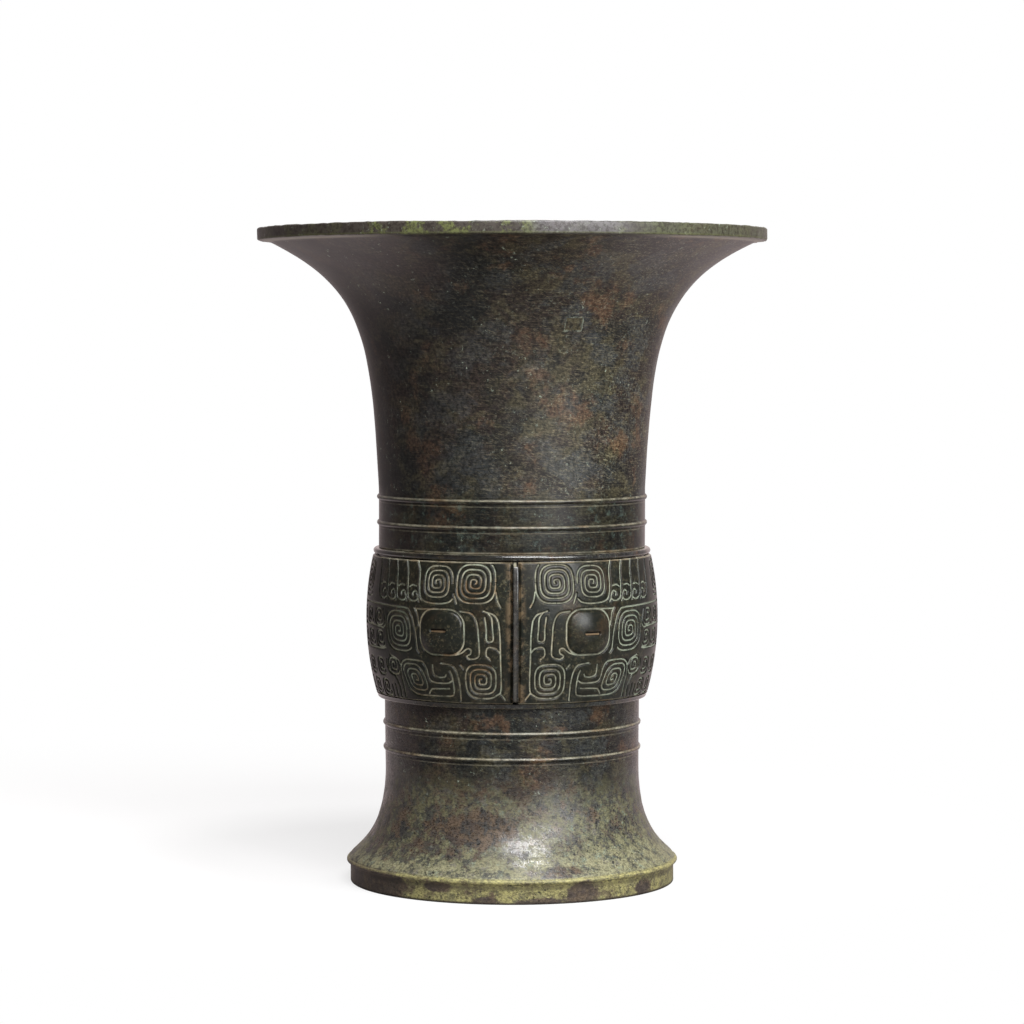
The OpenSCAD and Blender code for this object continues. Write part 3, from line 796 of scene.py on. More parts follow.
class Finish:
    """The nodes of one material or of the world."""

    def __init__(self, owner):
        owner.use_nodes = True
        self.owner = owner
        self.nodes = owner.node_tree.nodes
        self.links = owner.node_tree.links

    def feed(self, socket, value):
        if isinstance(value, Value):
            self.links.new(value.socket, socket)
        else:
            socket.default_value = value

    def add(self, kind, settings, inputs, output=0):
        node = self.nodes.new(kind)
        for name, value in settings.items():
            setattr(node, name, value)
        for name, value in inputs.items():
            self.feed(node.inputs[name], value)
        return Value(self, node.outputs[output])

    def main(self, kind):
        """The node of this kind that a new material or world already has."""
        return next(node for node in self.nodes if node.type == kind)

    def place(self, output="Object"):
        return self.add("ShaderNodeTexCoord", {}, {}, output)

    def vector(self, operation, first, second=(0, 0, 0), output="Vector"):
        return self.add("ShaderNodeVectorMath", {"operation": operation}, {0: first, 1: second}, output)

    def axis(self, name):
        return self.add("ShaderNodeSeparateXYZ", {}, {0: self.place()}, name) / MM

    def from_axis(self):
        """Distance from the vessel's axis."""
        level = self.vector("MULTIPLY", self.place(), (1, 1, 0))
        return self.vector("LENGTH", level, output="Value") / MM

    def noise(self, size, detail=4, rough=0.6, squash=1, twist=0, lean=0):
        """Cloud noise with clouds of this size.

        A squash over 1 flattens them into level lines, and a lean tips those lines by so many degrees.
        """
        place = self.place()
        if lean:
            place = self.add("ShaderNodeVectorRotate", {"rotation_type": "Y_AXIS"},
                             {"Vector": place, "Angle": math.radians(lean)})
        place = self.vector("MULTIPLY", place, (1, 1, squash))
        return self.add("ShaderNodeTexNoise", {},
                        {"Vector": place, "Scale": 1 / (size * MM), "Detail": detail,
                         "Roughness": rough, "Distortion": twist})

    def step(self, value, start, end):
        """0 before start, 1 after end, soft between. It falls instead where start is above end."""
        low, high = (0, 1) if start < end else (1, 0)
        return self.add("ShaderNodeMapRange", {"interpolation_type": "SMOOTHSTEP"},
                        {0: value, 1: min(start, end), 2: max(start, end), 3: low, 4: high})

    def blots(self, size, detail, rough, start, end, squash=1, twist=0, lean=0):
        """Cloud noise pressed into blots by a step from start to end."""
        return self.step(self.noise(size, detail, rough, squash, twist, lean), start, end)

    def wander(self, size, detail, reach):
        """A distance that drifts over the surface, by up to half its reach to either side."""
        return reach * (self.noise(size, detail) - 0.5)

    def mix(self, share, first, second, blend="MIX"):
        return self.add("ShaderNodeMix", {"data_type": "RGBA", "blend_type": blend},
                        {0: share, 6: first, 7: second}, 2)

    def mark(self, name):
        return self.add("ShaderNodeAttribute", {"attribute_name": name}, {}, "Fac")

    def line(self, height, half_width):
        """1 on a level line at this height, fading out over its half width."""
        return self.step(abs(self.axis("Z") - height), half_width, 0)

    def patch(self, x, z, half_x, half_z):
        """1 on a soft patch of the front with its middle at this place."""
        across = (self.axis("X") - x) / half_x
        up = (self.axis("Z") - z) / half_z
        return self.step(across * across + up * up, *PATCH_EDGE) * self.step(self.axis("Y"), *FRONT_SIDE)

    def bump(self, height, strength, distance):
        return self.add("ShaderNodeBump", {},
                        {"Height": height, "Strength": strength, "Distance": distance * MM})

    def ray(self, kind):
        """1 for light paths of this kind."""
        return self.add("ShaderNodeLightPath", {}, {}, f"Is {kind} Ray")


print("words of a finish:", ", ".join(word for word in vars(Finish) if not word.startswith("_")))

# %% [markdown]
# ### From sums to bronze
#
# Bare bronze is a metal, but three thousand years of patina have covered it with a skin of copper salts that
# is not. So the main shader stays without metal, and its gloss comes from the skin. Where a place is
# polished, a thin clear coat lies on top.

# %% Bronze under its patina
COAT_ROUGHNESS = 0.2


def tone(red, green, blue):
    """A colour, written as linear light."""
    return (red, green, blue, 1)


def bronze(name, colour, roughness, normal, gloss=0.5, coat=0):
    """Hands the finished sums to the material's main shader."""
    finish = colour.finish
    shader = finish.main("BSDF_PRINCIPLED")
    finish.feed(shader.inputs["Base Color"], colour)
    finish.feed(shader.inputs["Roughness"], roughness)
    finish.feed(shader.inputs["Normal"], normal)
    finish.feed(shader.inputs["Coat Weight"], coat)
    shader.inputs["Coat Roughness"].default_value = COAT_ROUGHNESS
    shader.inputs["Specular IOR Level"].default_value = gloss
    print("finish", name, "with", len(finish.nodes), "nodes")
    return finish.owner


# %% [markdown]
# ## The dark skin
#
# Old bronze grows a thin, hard skin of its own: nearly black, with blue, brown and olive clouds in it. It was
# brushed level all round, which leaves fine lines, and small pale specks sit on top. A painted picture could
# show that from one side, but noise in Object coordinates wraps round the whole vessel without a seam. All
# the finishes start from this skin and add what each place has gathered.

# %% Skin of the vessel
BLUE_BLACK = tone(0.0085, 0.0095, 0.0095)
BROWN_BLACK = tone(0.020, 0.0135, 0.0115)
GREEN_BLACK = tone(0.0105, 0.0125, 0.009)
OLIVE_BROWN = tone(0.062, 0.054, 0.027)
RUST = tone(0.096, 0.050, 0.026)
SLATE = tone(0.033, 0.037, 0.039)
STRAW = tone(0.20, 0.175, 0.105)
PALE_GREEN = tone(0.36, 0.43, 0.34)
SOOT = tone(0.006, 0.005, 0.004)
SHADED_LEFT_SPAN = (-48, 34)


def skin(name, grown=1, brush=1):
    """The dark skin: its finish, its colour, its brushed lines and its fine grain.

    Grown scales the clouds and brush the strength of the lines. Both are 1 on the neck.
    """
    finish = Finish(bpy.data.materials.new(name))
    # Painted shade: the olive, slate and rust clouds, the streaks and the specks thin out towards the left,
    # so the skin is darker and smoother on the side that lies in less light.
    side = finish.step(finish.axis("X"), *SHADED_LEFT_SPAN)
    brushed = finish.noise(5, 4, 0.65, squash=16)
    grain = finish.noise(1.2, 4, 0.65)
    brown = finish.blots(34 * grown, 5, 0.62, 0.42, 0.58, twist=0.5)
    colour = finish.mix(brown, BLUE_BLACK, BROWN_BLACK)
    olive = finish.blots(15 * grown, 7, 0.68, 0.47, 0.61, squash=1.4, twist=0.4)
    colour = finish.mix(olive * (0.35 + 0.35 * side), colour, OLIVE_BROWN)
    slate = finish.blots(19 * grown, 6, 0.66, 0.49, 0.60, squash=1.3)
    colour = finish.mix(slate * (0.3 + 0.5 * side), colour, SLATE)
    rust = finish.blots(21 * grown, 7, 0.68, 0.53, 0.63)
    colour = finish.mix(rust * (0.3 + 0.4 * side), colour, RUST)
    level = finish.step(brushed, 0.52, 0.66)
    colour = finish.mix(level * (0.05 + 0.22 * side) * brush, colour, STRAW)
    leaning = finish.blots(2.2, 3, 0.65, 0.54, 0.64, squash=9, twist=0.6, lean=-24)
    colour = finish.mix(leaning * (0.08 + 0.40 * side) * brush, colour, STRAW)
    dust = finish.blots(0.9, 5, 0.75, 0.54, 0.70) * finish.blots(12, 6, 0.7, 0.42, 0.62)
    colour = finish.mix(dust * (0.08 + 0.34 * side), colour, PALE_GREEN)
    crumbs = finish.blots(2.2, 6, 0.78, 0.60, 0.67) * finish.blots(14, 4, 0.6, 0.48, 0.60)
    colour = finish.mix(crumbs * 0.8, colour, PALE_GREEN)
    shade = 0.12 + 0.45 * finish.step(brushed, 0.30, 0.70) + 1.3 * finish.step(grain, 0.30, 0.70)
    return finish, finish.mix(1, colour, shade, "MULTIPLY"), brushed, grain


print("skin: blue, brown and olive black, smoother on the left")

# %% [markdown]
# ### Pale crust
#
# Dust and green salts gather where water stood: along the top of each string line, just under it, and at the
# edges of the mask. A strip of its own would look glued on, so level lines at those heights lay the crust on
# as a tone, broken up by noise. They stop short of the inside of the wall.

# %% Crust helpers
CREAM = tone(0.42, 0.40, 0.295)
TAN = tone(0.30, 0.21, 0.12)
ON_STRING = (0.5, 0.6)
UNDER_STRING = (-1.9, 0.35)
UNDER_CRUST = 0.28


def crusted(finish, colour, lines, strength, outside):
    """Crust along level lines, each (height, half width), beyond this distance from the axis."""
    broken = 0.3 + 0.7 * finish.blots(4.3, 6, 0.75, 0.38, 0.62)
    strength = strength * finish.step(finish.from_axis(), outside, outside + 1)
    crust = finish.mix(finish.blots(16, 4, 0.6, 0.45, 0.65) * 0.8, CREAM, TAN)
    for height, half_width in lines:
        colour = finish.mix(finish.line(height, half_width) * broken * strength, colour, crust)
    return colour


def string_crust(finish, colour, strings, strength, outside):
    """Crust along the top of each string line, and a fainter line of it just below."""
    for (up, half_width), share in ((ON_STRING, strength), (UNDER_STRING, UNDER_CRUST)):
        colour = crusted(finish, colour, [(height + up, half_width) for height in strings], share, outside)
    return colour


print("crust on", len(NECK_STRINGS) + len(FOOT_STRINGS), "string lines")

# %% [markdown]
# ## Neck finish
#
# The zone of the string lines is darker and smoother, and painted shade darkens it more towards the right.
# The seams of the spacers are filled with green salts, so a wavering line of colour along each plate's edge
# shows them better than a wider gap would.
# The lip is patched with leaf green, grey and brown, which change along its length. A cream line under the
# lip at its sides is a painted reflection.

# %% Lip and seams
LIP_BROWN = tone(0.062, 0.053, 0.044)
LEAF = tone(0.125, 0.14, 0.05)
LAVENDER = tone(0.11, 0.103, 0.108)
GREY_GREEN = tone(0.085, 0.090, 0.055)
LIP_BROWN_SPAN = (-50, -66)
LIP_GREY_AT = 22
LIP_GREY_SPAN = (24, 12)
LIP_GREEN_SPAN = (38, 52)
SEAM_SPAN = (0.5, 0.1)


def lip_tone(finish):
    """Leaf green and brown on the left of the lip, grey in the middle and grey green on the right."""
    along = finish.axis("X") + finish.wander(13, 5, 26)
    colour = finish.mix(finish.blots(10, 7, 0.72, 0.50, 0.57), LIP_BROWN, LEAF)
    colour = finish.mix(finish.step(along, *LIP_BROWN_SPAN) * 0.75, colour, LIP_BROWN)
    colour = finish.mix(finish.step(abs(along - LIP_GREY_AT), *LIP_GREY_SPAN) * 0.85, colour, LAVENDER)
    colour = finish.mix(finish.step(along, *LIP_GREEN_SPAN) * 0.85, colour, GREY_GREEN)
    colour = finish.mix(finish.blots(1.3, 5, 0.75, 0.46, 0.58) * 0.7, colour, BROWN_BLACK)
    colour = finish.mix(finish.blots(1.5, 4, 0.7, 0.60, 0.70) * 0.5, colour, PALE_GREEN)
    return finish.mix(finish.line(lip_z + 0.5, 0.6) * 0.4, colour, LEAF)


def spacer_seam(finish, turn):
    """1 along the seam of the spacer at this turn round the neck."""
    along = finish.axis("X") * math.cos(turn) + finish.axis("Y") * math.sin(turn)
    out = finish.axis("X") * math.sin(turn) - finish.axis("Y") * math.cos(turn)
    side = abs(along) - SPACER_W / 2
    top = abs(finish.axis("Z") - SPACER_Z) - SPACER_H / 2
    edge = finish.add("ShaderNodeMath", {"operation": "MAXIMUM"}, {0: side, 1: top})
    return finish.step(abs(edge + finish.wander(2.2, 3, 2.4)), *SEAM_SPAN) * finish.step(out, 0, 1)


print("seams round", SPACERS, "spacers")

# %% Neck finish
STRING_SHADE = tone(0.34, 0.36, 0.36)
TEAL = tone(0.15, 0.22, 0.185)
NECK_OUTSIDE = 51
STRING_ZONE = (NECK_Z + 26, NECK_Z + 18)
STRING_SHADE_SIDE = (-30, 25)
JOINT_CRUST = (NECK_Z + 0.4, 0.7)
FLARE_SIDES = (50, 75)
LIP_SIDES = (40, 70)
LIP_INSIDE = (9, 6)
UNDER_LIP = (9, 7)


def neck_finish():
    finish, colour, brushed, grain = skin("neck_patina")
    sideways = abs(finish.axis("X"))
    outside = finish.step(finish.from_axis(), NECK_OUTSIDE, NECK_OUTSIDE + 1)
    stringed = finish.step(finish.axis("Z"), *STRING_ZONE) * outside
    # Painted shade between the string lines, deeper towards the right.
    darker = 0.45 + 0.55 * finish.step(finish.axis("X"), *STRING_SHADE_SIDE)
    between = finish.mix(darker, colour, STRING_SHADE, "MULTIPLY")
    between = finish.mix(finish.blots(3.4, 8, 0.8, 0.53, 0.66) * 0.3, between, TEAL)
    colour = finish.mix(stringed, colour, between)
    colour = string_crust(finish, colour, NECK_STRINGS, 0.6, NECK_OUTSIDE)
    colour = crusted(finish, colour, [JOINT_CRUST], 0.6, NECK_OUTSIDE)
    broken = finish.blots(2.4, 4, 0.7, 0.36, 0.54)
    for turn in SPACER_TURNS:
        colour = finish.mix(spacer_seam(finish, turn) * broken * 0.4, colour, PALE_GREEN)
    pits = finish.blots(1.1, 3, 0.6, 0.37, 0.30) * finish.step(sideways, *FLARE_SIDES)
    colour = finish.mix(pits * 0.8, colour, SOOT)
    from_edge = MOUTH_R - finish.from_axis() + finish.wander(6, 5, 8)
    lip = finish.step(finish.axis("Z"), lip_z - 0.4, lip_z + 0.2) * finish.step(from_edge, *LIP_INSIDE)
    colour = finish.mix(lip * 0.92, colour, lip_tone(finish))
    # Painted reflection: a cream line just under the lip, towards the sides.
    under_lip_reflection = finish.line(lip_z - 0.4, 0.5) * finish.step(sideways, *LIP_SIDES)
    colour = finish.mix(under_lip_reflection * finish.step(from_edge, *UNDER_LIP) * 0.4, colour, CREAM)
    roughness = 0.32 + 0.12 * brushed + 0.10 * grain - 0.10 * stringed
    return bronze("neck_patina", colour, roughness, finish.bump(brushed * 0.6 + grain * 0.5, 0.3, 0.12))


neck_patina = neck_finish()

# %% [markdown]
# ## Mask finish
#
# The raised parts of the mask are rubbed smooth and almost black, and the grooves hold pale earth. The earth
# could be modelled as a filling, but it is only a trace. So the carving attribute of the panels says where
# the grooves are, and noise decides how much earth is left and where it turns green. The slit of the pupil is
# darkened all over as painted shade, and tan earth on its lower half is painted as the light on its lower
# wall.

# %% Mask finish
VERDIGRIS = tone(0.195, 0.215, 0.165)
MASK_OUTSIDE = 52
MASK_EDGES = [(MASK_HI - 0.3, 0.5), (MASK_LO + 0.3, 0.5)]
NOSE_SIDES = (4.6, 1.8)
GREEN_FROM = (-6, 22)
GREEN_SIDES = (28, 46)
FULL_SIDES = (26, 44)


def earth_tone(finish):
    """Cream and tan earth, green on the right and towards the sides."""
    earth = finish.mix(finish.blots(14, 4, 0.6, 0.48, 0.62), CREAM, TAN)
    earth = finish.mix(finish.blots(11, 4, 0.6, 0.46, 0.60) * 0.6, earth, PALE_GREEN)
    right = finish.step(finish.axis("X") + finish.wander(21, 4, 60), *GREEN_FROM)
    earth = finish.mix(right * 0.7, earth, VERDIGRIS)
    return finish.mix(finish.step(abs(finish.axis("X")), *GREEN_SIDES) * 0.55, earth, PALE_GREEN)


def mask_finish():
    finish, colour, _, grain = skin("mask_patina", 0.6, 0.15)
    sideways = abs(finish.axis("X"))
    carving = finish.mark("carving")
    pupil = finish.mark("pupil")
    colour = finish.mix(0.75, colour, GREEN_BLACK)
    specks = finish.blots(1.3, 5, 0.8, 0.50, 0.64) * finish.blots(6, 7, 0.78, 0.44, 0.58)
    colour = finish.mix(specks * 0.4, colour, STRAW)
    left = 0.3 + 0.7 * finish.blots(2.8, 6, 0.75, 0.34, 0.58) + 0.3 * finish.step(sideways, *FULL_SIDES)
    colour = finish.mix(finish.step(carving, 0.50, 0.92) * left, colour, earth_tone(finish))
    # Painted shade darkens the whole slit of the pupil.
    colour = finish.mix(finish.step(pupil, 0.1, 0.4), colour, SOOT)
    # Tan earth on the pupil's lower half, painted as the light on its lower wall.
    colour = finish.mix(finish.step(pupil, 0.6, 0.9) * 0.7, colour, TAN)
    beside_nose = finish.step(sideways, *NOSE_SIDES) * finish.blots(5, 9, 0.8, 0.47, 0.57)
    colour = finish.mix(beside_nose * 0.45, colour, TAN)
    colour = crusted(finish, colour, MASK_EDGES, 0.9, MASK_OUTSIDE)
    roughness = 0.25 + 0.14 * grain + 0.30 * carving
    return bronze("mask_patina", colour, roughness, finish.bump(grain, 0.35, 0.12), gloss=0.3)


mask_patina = mask_finish()

# %% [markdown]
# ## Belly and ridge finishes
#
# The borders of the belly and the nose ridges stand out, so hands have polished them: they are blue black and
# shiny. Only narrow strips of them show, so the skin with less roughness will do. A paler painted highlight
# runs along the ridge's crest, and a cream painted highlight sits on its top end.

# %% Belly and ridge finishes
CREST_HIGHLIGHT = tone(0.16, 0.15, 0.135)
BELLY_EDGES = [(NECK_Z, 0.4), (BELLY_Z, 0.4)]
CREST_AT = -0.2
CREST_SPAN = (0.75, 0.3)
RIDGE_TOP_HIGHLIGHT = (MASK_HI - 2.2, MASK_HI - 1.2)


def belly_finish():
    finish, colour, _, grain = skin("belly_patina", 0.6, 0.3)
    colour = finish.mix(0.4, colour, BLUE_BLACK)
    colour = crusted(finish, colour, BELLY_EDGES, 0.45, MASK_OUTSIDE)
    return bronze("belly_patina", colour, 0.16 + 0.12 * grain, finish.bump(grain, 0.2, 0.1), gloss=1)


def ridge_finish():
    finish, colour, _, grain = skin("ridge_patina", 0.5, 0)
    colour = finish.mix(0.5, colour, BLUE_BLACK)
    # Painted highlight: a paler stripe along the crest, and cream on its top end.
    crest_highlight = finish.step(abs(finish.axis("X") - CREST_AT), *CREST_SPAN) * finish.blots(6, 4, 0.7, 0.3, 0.6)
    colour = finish.mix(crest_highlight * 0.3, colour, CREST_HIGHLIGHT)
    colour = finish.mix(finish.step(finish.axis("Z"), *RIDGE_TOP_HIGHLIGHT) * crest_highlight, colour, CREAM)
    return bronze("ridge_patina", colour, 0.18 + 0.15 * grain, finish.bump(grain, 0.2, 0.1), gloss=1)


belly_patina = belly_finish()
ridge_patina = ridge_finish()

# %% [markdown]
# ## Foot finish
#
# The foot stood on damp ground, so a ragged film of green salts grew over its skin: olive on the spread and
# yellow-green on the ring. Where the film has worn off, brown, plum and slate show. Crisp blots would look
# like camouflage, so soft patches only thin the film at those places, and noise tears its edge.

# %% Film and bare places
OLIVE = tone(0.150, 0.148, 0.080)
PALE_OLIVE = tone(0.272, 0.264, 0.155)
MOSS = tone(0.36, 0.335, 0.135)
PLUM = tone(0.060, 0.046, 0.040)
UMBER = tone(0.105, 0.076, 0.052)
PALE_SIDE = (-10, -45)
DARK_SIDE = (-14, -40)
COOL_SIDE = (8, 34)
BARE_RING = ((26, 3.5, 6, 5), (-58, 4, 16, 7), (-12, 1, 5, 2), (9, 1, 8, 1.4), (50, 3, 3, 3), (-30, 6, 5, 2))
RING_SHADOW = (RING_H - 0.4, 1.5)
GROUND_SHADOW = (1.3, 0.5)


def worn_places(finish, places):
    """How much of the film is gone, from soft patches at these places."""
    return sum(finish.patch(*place) for place in places)


def film_tone(finish, lower):
    """The green film: olive, paler lower down, with teal, grey and slate in it."""
    pale = 0.7 + 0.3 * finish.step(finish.axis("X"), *PALE_SIDE)
    film = finish.mix(lower * pale, OLIVE, PALE_OLIVE)
    film = finish.mix(finish.blots(3.6, 9, 0.8, 0.54, 0.62) * 0.6, film, TEAL)
    film = finish.mix(finish.blots(6, 9, 0.8, 0.53, 0.62) * 0.7, film, LAVENDER)
    darker = 0.05 * finish.step(finish.axis("X"), *DARK_SIDE) * (1 - lower)
    slate = finish.step(finish.noise(4.4, 9, 0.8) + darker, 0.52, 0.58)
    return finish.mix(slate * 0.8, film, SLATE)


def bare_tone(finish):
    """The skin under the film: brown, plum and slate, with more slate on the right."""
    cool = 0.05 * finish.step(finish.axis("X"), *COOL_SIDE)
    slate = finish.step(finish.noise(5, 10, 0.8) + cool, 0.46, 0.56)
    plum = finish.step(finish.noise(9, 8, 0.78) - cool, 0.48, 0.60)
    return finish.mix(plum * 0.7, finish.mix(slate * 0.9, UMBER, SLATE), PLUM)


def ring_tone(finish, kept, fine):
    """The standing ring: moss over rust brown, dark under the ledge and along the ground."""
    moss = finish.mix(finish.blots(7, 8, 0.8, 0.46, 0.60) * 0.7, MOSS, OLIVE)
    moss = finish.mix(finish.blots(4, 9, 0.8, 0.52, 0.60) * 0.7, moss, SLATE)
    moss = finish.mix(finish.blots(3, 8, 0.8, 0.53, 0.62) * 0.6, moss, UMBER)
    rust = finish.mix(finish.blots(7, 8, 0.78, 0.44, 0.58), PLUM, UMBER)
    covered = finish.step(kept - 0.14 * worn_places(finish, BARE_RING), 0.42, 0.54)
    ring = finish.mix(covered * 0.95, rust, moss)
    shadow = finish.line(*RING_SHADOW) * 0.7 * fine + finish.step(finish.axis("Z"), *GROUND_SHADOW) * 0.9
    return finish.mix(shadow, ring, BROWN_BLACK)


print("bare places on the ring:", len(BARE_RING))

# %% Foot finish
FOOT_OUTSIDE = 48.5
BARE_SPREAD = ((17, 11.5, 11, 2.5), (-14, 27, 13, 6), (4, 46, 10, 7))
POLISHED = (5, 21, 13, 8)
PITTED = (26, 26, 16, 9)
STEM_SHADE_SIDE = (0, 34)
FILM_TOP = (70, 46)
PALE_TOP = (32, 20)
PALE_RISE = (0, 45)
RING_SPAN = (LEDGE_Z + 1.6, LEDGE_Z + 0.6)
LEDGE_EDGE = (LEDGE_Z + 0.6, 0.7)


def foot_finish():
    finish, colour, *_ = skin("foot_patina", 0.8, 0.5)
    height = finish.axis("Z")
    across = finish.axis("X")
    ragged = finish.noise(2.8, 10, 0.85, squash=1.4)
    kept = 0.6 * finish.noise(8, 10, 0.8, twist=0.3) + 0.45 * ragged
    fine = finish.blots(1.1, 4, 0.78, 0.34, 0.64, squash=1.8)
    # Painted shade: the skin darkens towards the right.
    colour = finish.mix(finish.step(across, *STEM_SHADE_SIDE) * 0.6, colour, STRING_SHADE, "MULTIPLY")
    low = finish.step(height + 34 * finish.noise(16, 8, 0.75), *FILM_TOP)
    rise = 24 * finish.noise(9, 9, 0.78) - 5 * finish.step(across, *PALE_RISE)
    lower = finish.step(height + rise, *PALE_TOP)
    covered = finish.step(kept + 0.09 * lower - 0.12 * worn_places(finish, BARE_SPREAD), 0.48, 0.57)
    film = finish.mix(covered * 0.9, bare_tone(finish), film_tone(finish, lower))
    colour = finish.mix(low * 0.92, colour, film)
    colour = finish.mix(finish.step(height, *RING_SPAN) * 0.95, colour, ring_tone(finish, kept, fine))
    colour = finish.mix(finish.line(*LEDGE_EDGE) * 0.3, colour, MOSS)
    colour = string_crust(finish, colour, FOOT_STRINGS, 0.7, FOOT_OUTSIDE)
    colour = finish.mix(low, colour, 0.5 + 0.95 * fine, "MULTIPLY")
    pitted = finish.step(finish.noise(17, 4) + 0.2 * finish.patch(*PITTED), 0.44, 0.58)
    pits = finish.blots(1.3, 3, 0.6, 0.41, 0.34) * pitted
    colour = finish.mix(pits * low * 0.85, colour, SOOT)
    rubbed = finish.patch(*POLISHED) * finish.blots(2.6, 8, 0.8, 0.44, 0.56, squash=1.5)
    roughness = 0.24 + 0.12 * fine + 0.20 * covered * low - 0.34 * rubbed
    uneven = finish.noise(5, 5, 0.62) + 0.14 * fine + 0.25 * ragged - 0.15 * pits
    return bronze("foot_patina", colour, roughness, finish.bump(uneven, 0.4, 0.35), coat=rubbed * 0.55)


foot_patina = foot_finish()

# %% [markdown]
# ## Floor and spacers
#
# The floor keeps a drier, greener patina, because nothing rubs it. The spacer plates were cast from another
# batch of bronze, so they are a shade browner than the wall around them. Both are the skin again, with one
# tone added.

# %% Floor and spacer finishes
def floor_finish():
    finish, colour, _, grain = skin("floor_patina")
    colour = finish.mix(finish.blots(12, 6, 0.66, 0.44, 0.60) * 0.8, colour, OLIVE)
    return bronze("floor_patina", colour, 0.5 + 0.2 * grain, finish.bump(grain, 0.4, 0.15))


def spacer_finish():
    finish, colour, brushed, grain = skin("spacer_patina", 0.7)
    colour = finish.mix(finish.step(grain, 0.35, 0.65) * 0.4, colour, OLIVE_BROWN)
    return bronze("spacer_patina", colour, 0.36 + 0.12 * brushed, finish.bump(brushed, 0.3, 0.1))


floor_patina = floor_finish()
spacer_patina = spacer_finish()

# %% [markdown]
# ## Dress the vessel
#
# Each new piece takes the place of its node, rides on the vessel's one body, and gets its finish. The floor
# and the spacers have the right shape already, so their nodes only get a finish.

# %% Hang the pieces on the frame
def dress(piece, node, material):
    piece.data.materials.clear()
    piece.data.materials.append(material)
    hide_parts(node)
    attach(piece, "root")


dress(neck, "neck", neck_patina)
dress(belly, "belly", belly_patina)
dress(foot, "foot", foot_patina)
for node, piece in panels.items():
    dress(piece, node, mask_patina)
for node, piece in ridges.items():
    dress(piece, node, ridge_patina)
plain = {"floor": floor_patina, "floor_spacers": spacer_patina, "neck_spacers": spacer_patina}
for node, material in plain.items():
    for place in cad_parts[node].material_slots:
        place.material = material
print("dressed", 3 + len(panels) + len(ridges), "pieces and", len(plain), "nodes")

# %% [markdown]
# ## The white table
#
# A photographer stands such a vessel on white paper. A plain white plane would show a grey horizon, so to the
# camera the paper glows: partly near the vessel, where it takes the shadow, and wholly further out, where it
# is pure white. The vessel is lit as if by dimmer paper, and its shiny walls mirror a warm white behind it.

# %% White table
TABLE_SIZE = 8
FADE_SPAN = (110, 350)
FADE_CENTRE = (-0.12, 0.15, 0)
TABLE_GLOW = 0.74
WHITE = tone(1, 1, 1)
WARM_WHITE = tone(1, 0.83, 0.83)
PAPER = tone(0.95, 0.95, 0.95)
PAPER_LIT = tone(0.42, 0.40, 0.39)
PAPER_MIRRORED = tone(0.12, 0.12, 0.12)
BACK_RIGHT = (0.14, 0.99, 0)
SIDE_WHITE = 0.29
SIDE_SPAN = (0.1, 0.9)
BACK_WHITE = 0.64
BACK_SPAN = (0.8, 1)
NEAR_WHITE = 0.57
NEAR_SPAN = (600, 300)
BEHIND_SPAN = (-60, 60)


def white_sector(finish, way):
    """How white the surround is that way: bright behind the vessel, dim to its sides, black in front."""
    facing = finish.vector("DOT_PRODUCT", way, BACK_RIGHT, "Value")
    return SIDE_WHITE * finish.step(facing, *SIDE_SPAN) + BACK_WHITE * finish.step(facing, *BACK_SPAN)


bpy.ops.object.select_all(action="DESELECT")
bpy.ops.mesh.primitive_plane_add(size=TABLE_SIZE)
table = bpy.context.object
table.name = "table"
paper = Finish(bpy.data.materials.new("table_white"))
to_camera = paper.ray("Camera")
to_gloss = paper.ray("Glossy")
paper_tone = paper.mix(to_camera, paper.mix(to_gloss, PAPER_LIT, PAPER_MIRRORED), PAPER)
matt = paper.add("ShaderNodeBsdfDiffuse", {}, {"Color": paper_tone})
white_tone = paper.mix(to_gloss, WHITE, WARM_WHITE)
white = paper.add("ShaderNodeEmission", {}, {"Color": white_tone, "Strength": 1})
away = paper.vector("DISTANCE", paper.place(), FADE_CENTRE, "Value") / MM
far = paper.step(away, *FADE_SPAN)
near = paper.step(paper.from_axis(), *NEAR_SPAN) * paper.step(paper.axis("Y"), *BEHIND_SPAN)
mirrored = white_sector(paper, paper.vector("NORMALIZE", paper.place())) + NEAR_WHITE * near
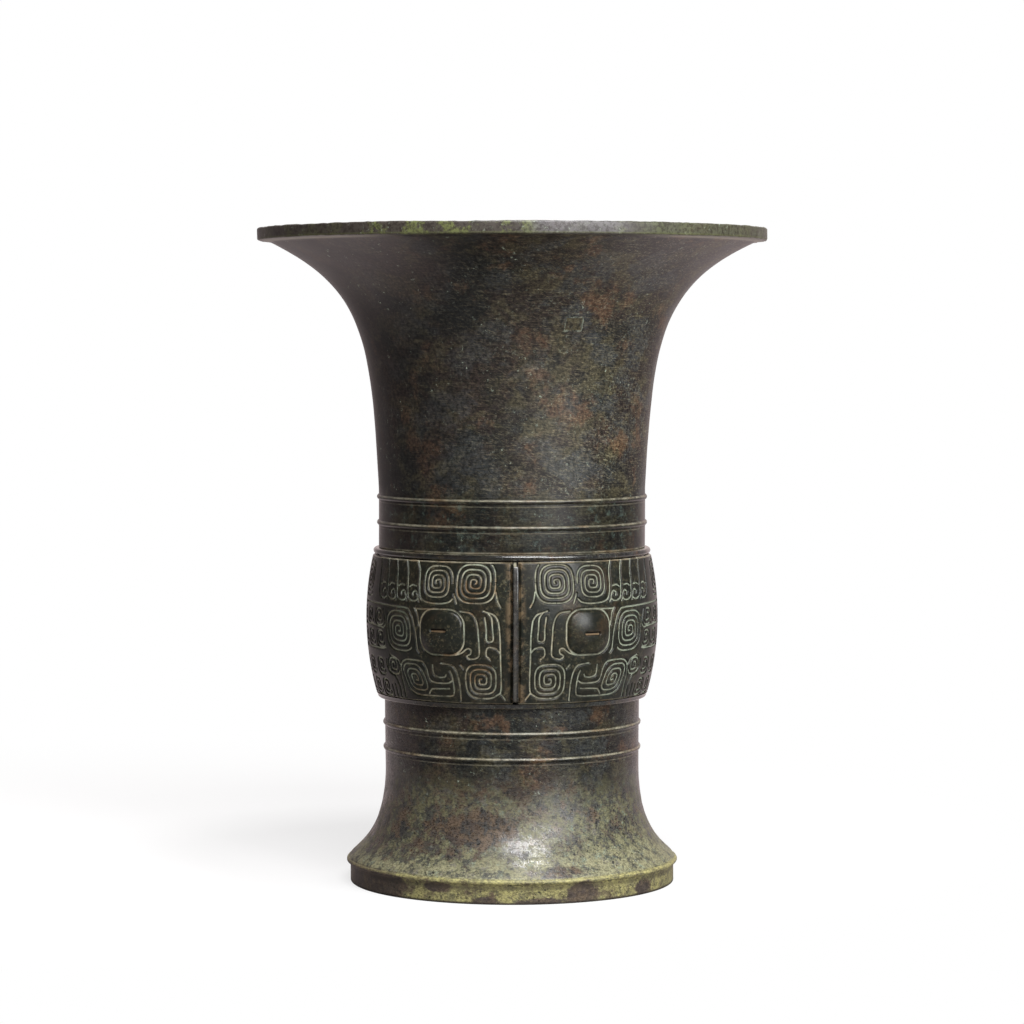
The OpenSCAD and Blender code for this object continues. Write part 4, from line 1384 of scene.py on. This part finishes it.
glow = to_camera * (TABLE_GLOW + (1 - TABLE_GLOW) * far) + to_gloss * mirrored
surface = paper.add("ShaderNodeMixShader", {}, {0: glow, 1: matt, 2: white})
paper.feed(paper.main("OUTPUT_MATERIAL").inputs["Surface"], surface)
table.data.materials.append(paper.owner)
print("table", TABLE_SIZE, "m across")

# %% [markdown]
# ## Soft lamps and white surround
#
# Three soft lamps light the vessel: a broad one low in front on the right, which gives the long shadow, a
# strong one high in front for the sheen on the foot, and a small one above for the string lines. A white
# surround on all sides would turn the dark, glossy wall grey, so it stays dark in front. Behind the vessel it
# is white: it draws pale rims along the sides and gives the back some light.

# %% Lamps and surround
LOOK_AT = Vector((0, 0, 0.14))
LAMPS = {
    "key": ((0.96, -1.24, 0.62), 0.75, 0.6, 18),
    "front": ((0.25, -1.16, 1.35), 0.8, 0.8, 29),
    "top": ((0.15, -0.30, 1.40), 0.28, 0.28, 11),
}
for name, (place, wide, tall, power) in LAMPS.items():
    aim = (LOOK_AT - Vector(place)).to_track_quat("-Z", "Y").to_euler()
    bpy.ops.object.light_add(type="AREA", location=place, rotation=aim)
    lamp = bpy.context.object
    lamp.name = name
    lamp.data.shape = "RECTANGLE"
    lamp.data.size = wide
    lamp.data.size_y = tall
    lamp.data.energy = power
    lamp.visible_camera = False

SURROUND_LIGHT = 0.06
BACK_LIGHT = 0.7
BACKWARDS_SPAN = (0.1, 0.9)
surround = bpy.data.worlds.new("surround")
bpy.context.scene.world = surround
sky = Finish(surround)
backdrop = sky.main("BACKGROUND")
way = sky.place("Generated")
backwards = sky.step(sky.add("ShaderNodeSeparateXYZ", {}, {0: way}, "Y"), *BACKWARDS_SPAN)
seen = sky.ray("Camera") + sky.ray("Glossy") * white_sector(sky, way)
seen = seen + BACK_LIGHT * sky.ray("Diffuse") * backwards
sky.feed(backdrop.inputs["Strength"], SURROUND_LIGHT + (1 - SURROUND_LIGHT) * seen)
sky.feed(backdrop.inputs["Color"], sky.mix(sky.ray("Camera"), WARM_WHITE, WHITE))
print("lamps:", ", ".join(LAMPS))

# %% [markdown]
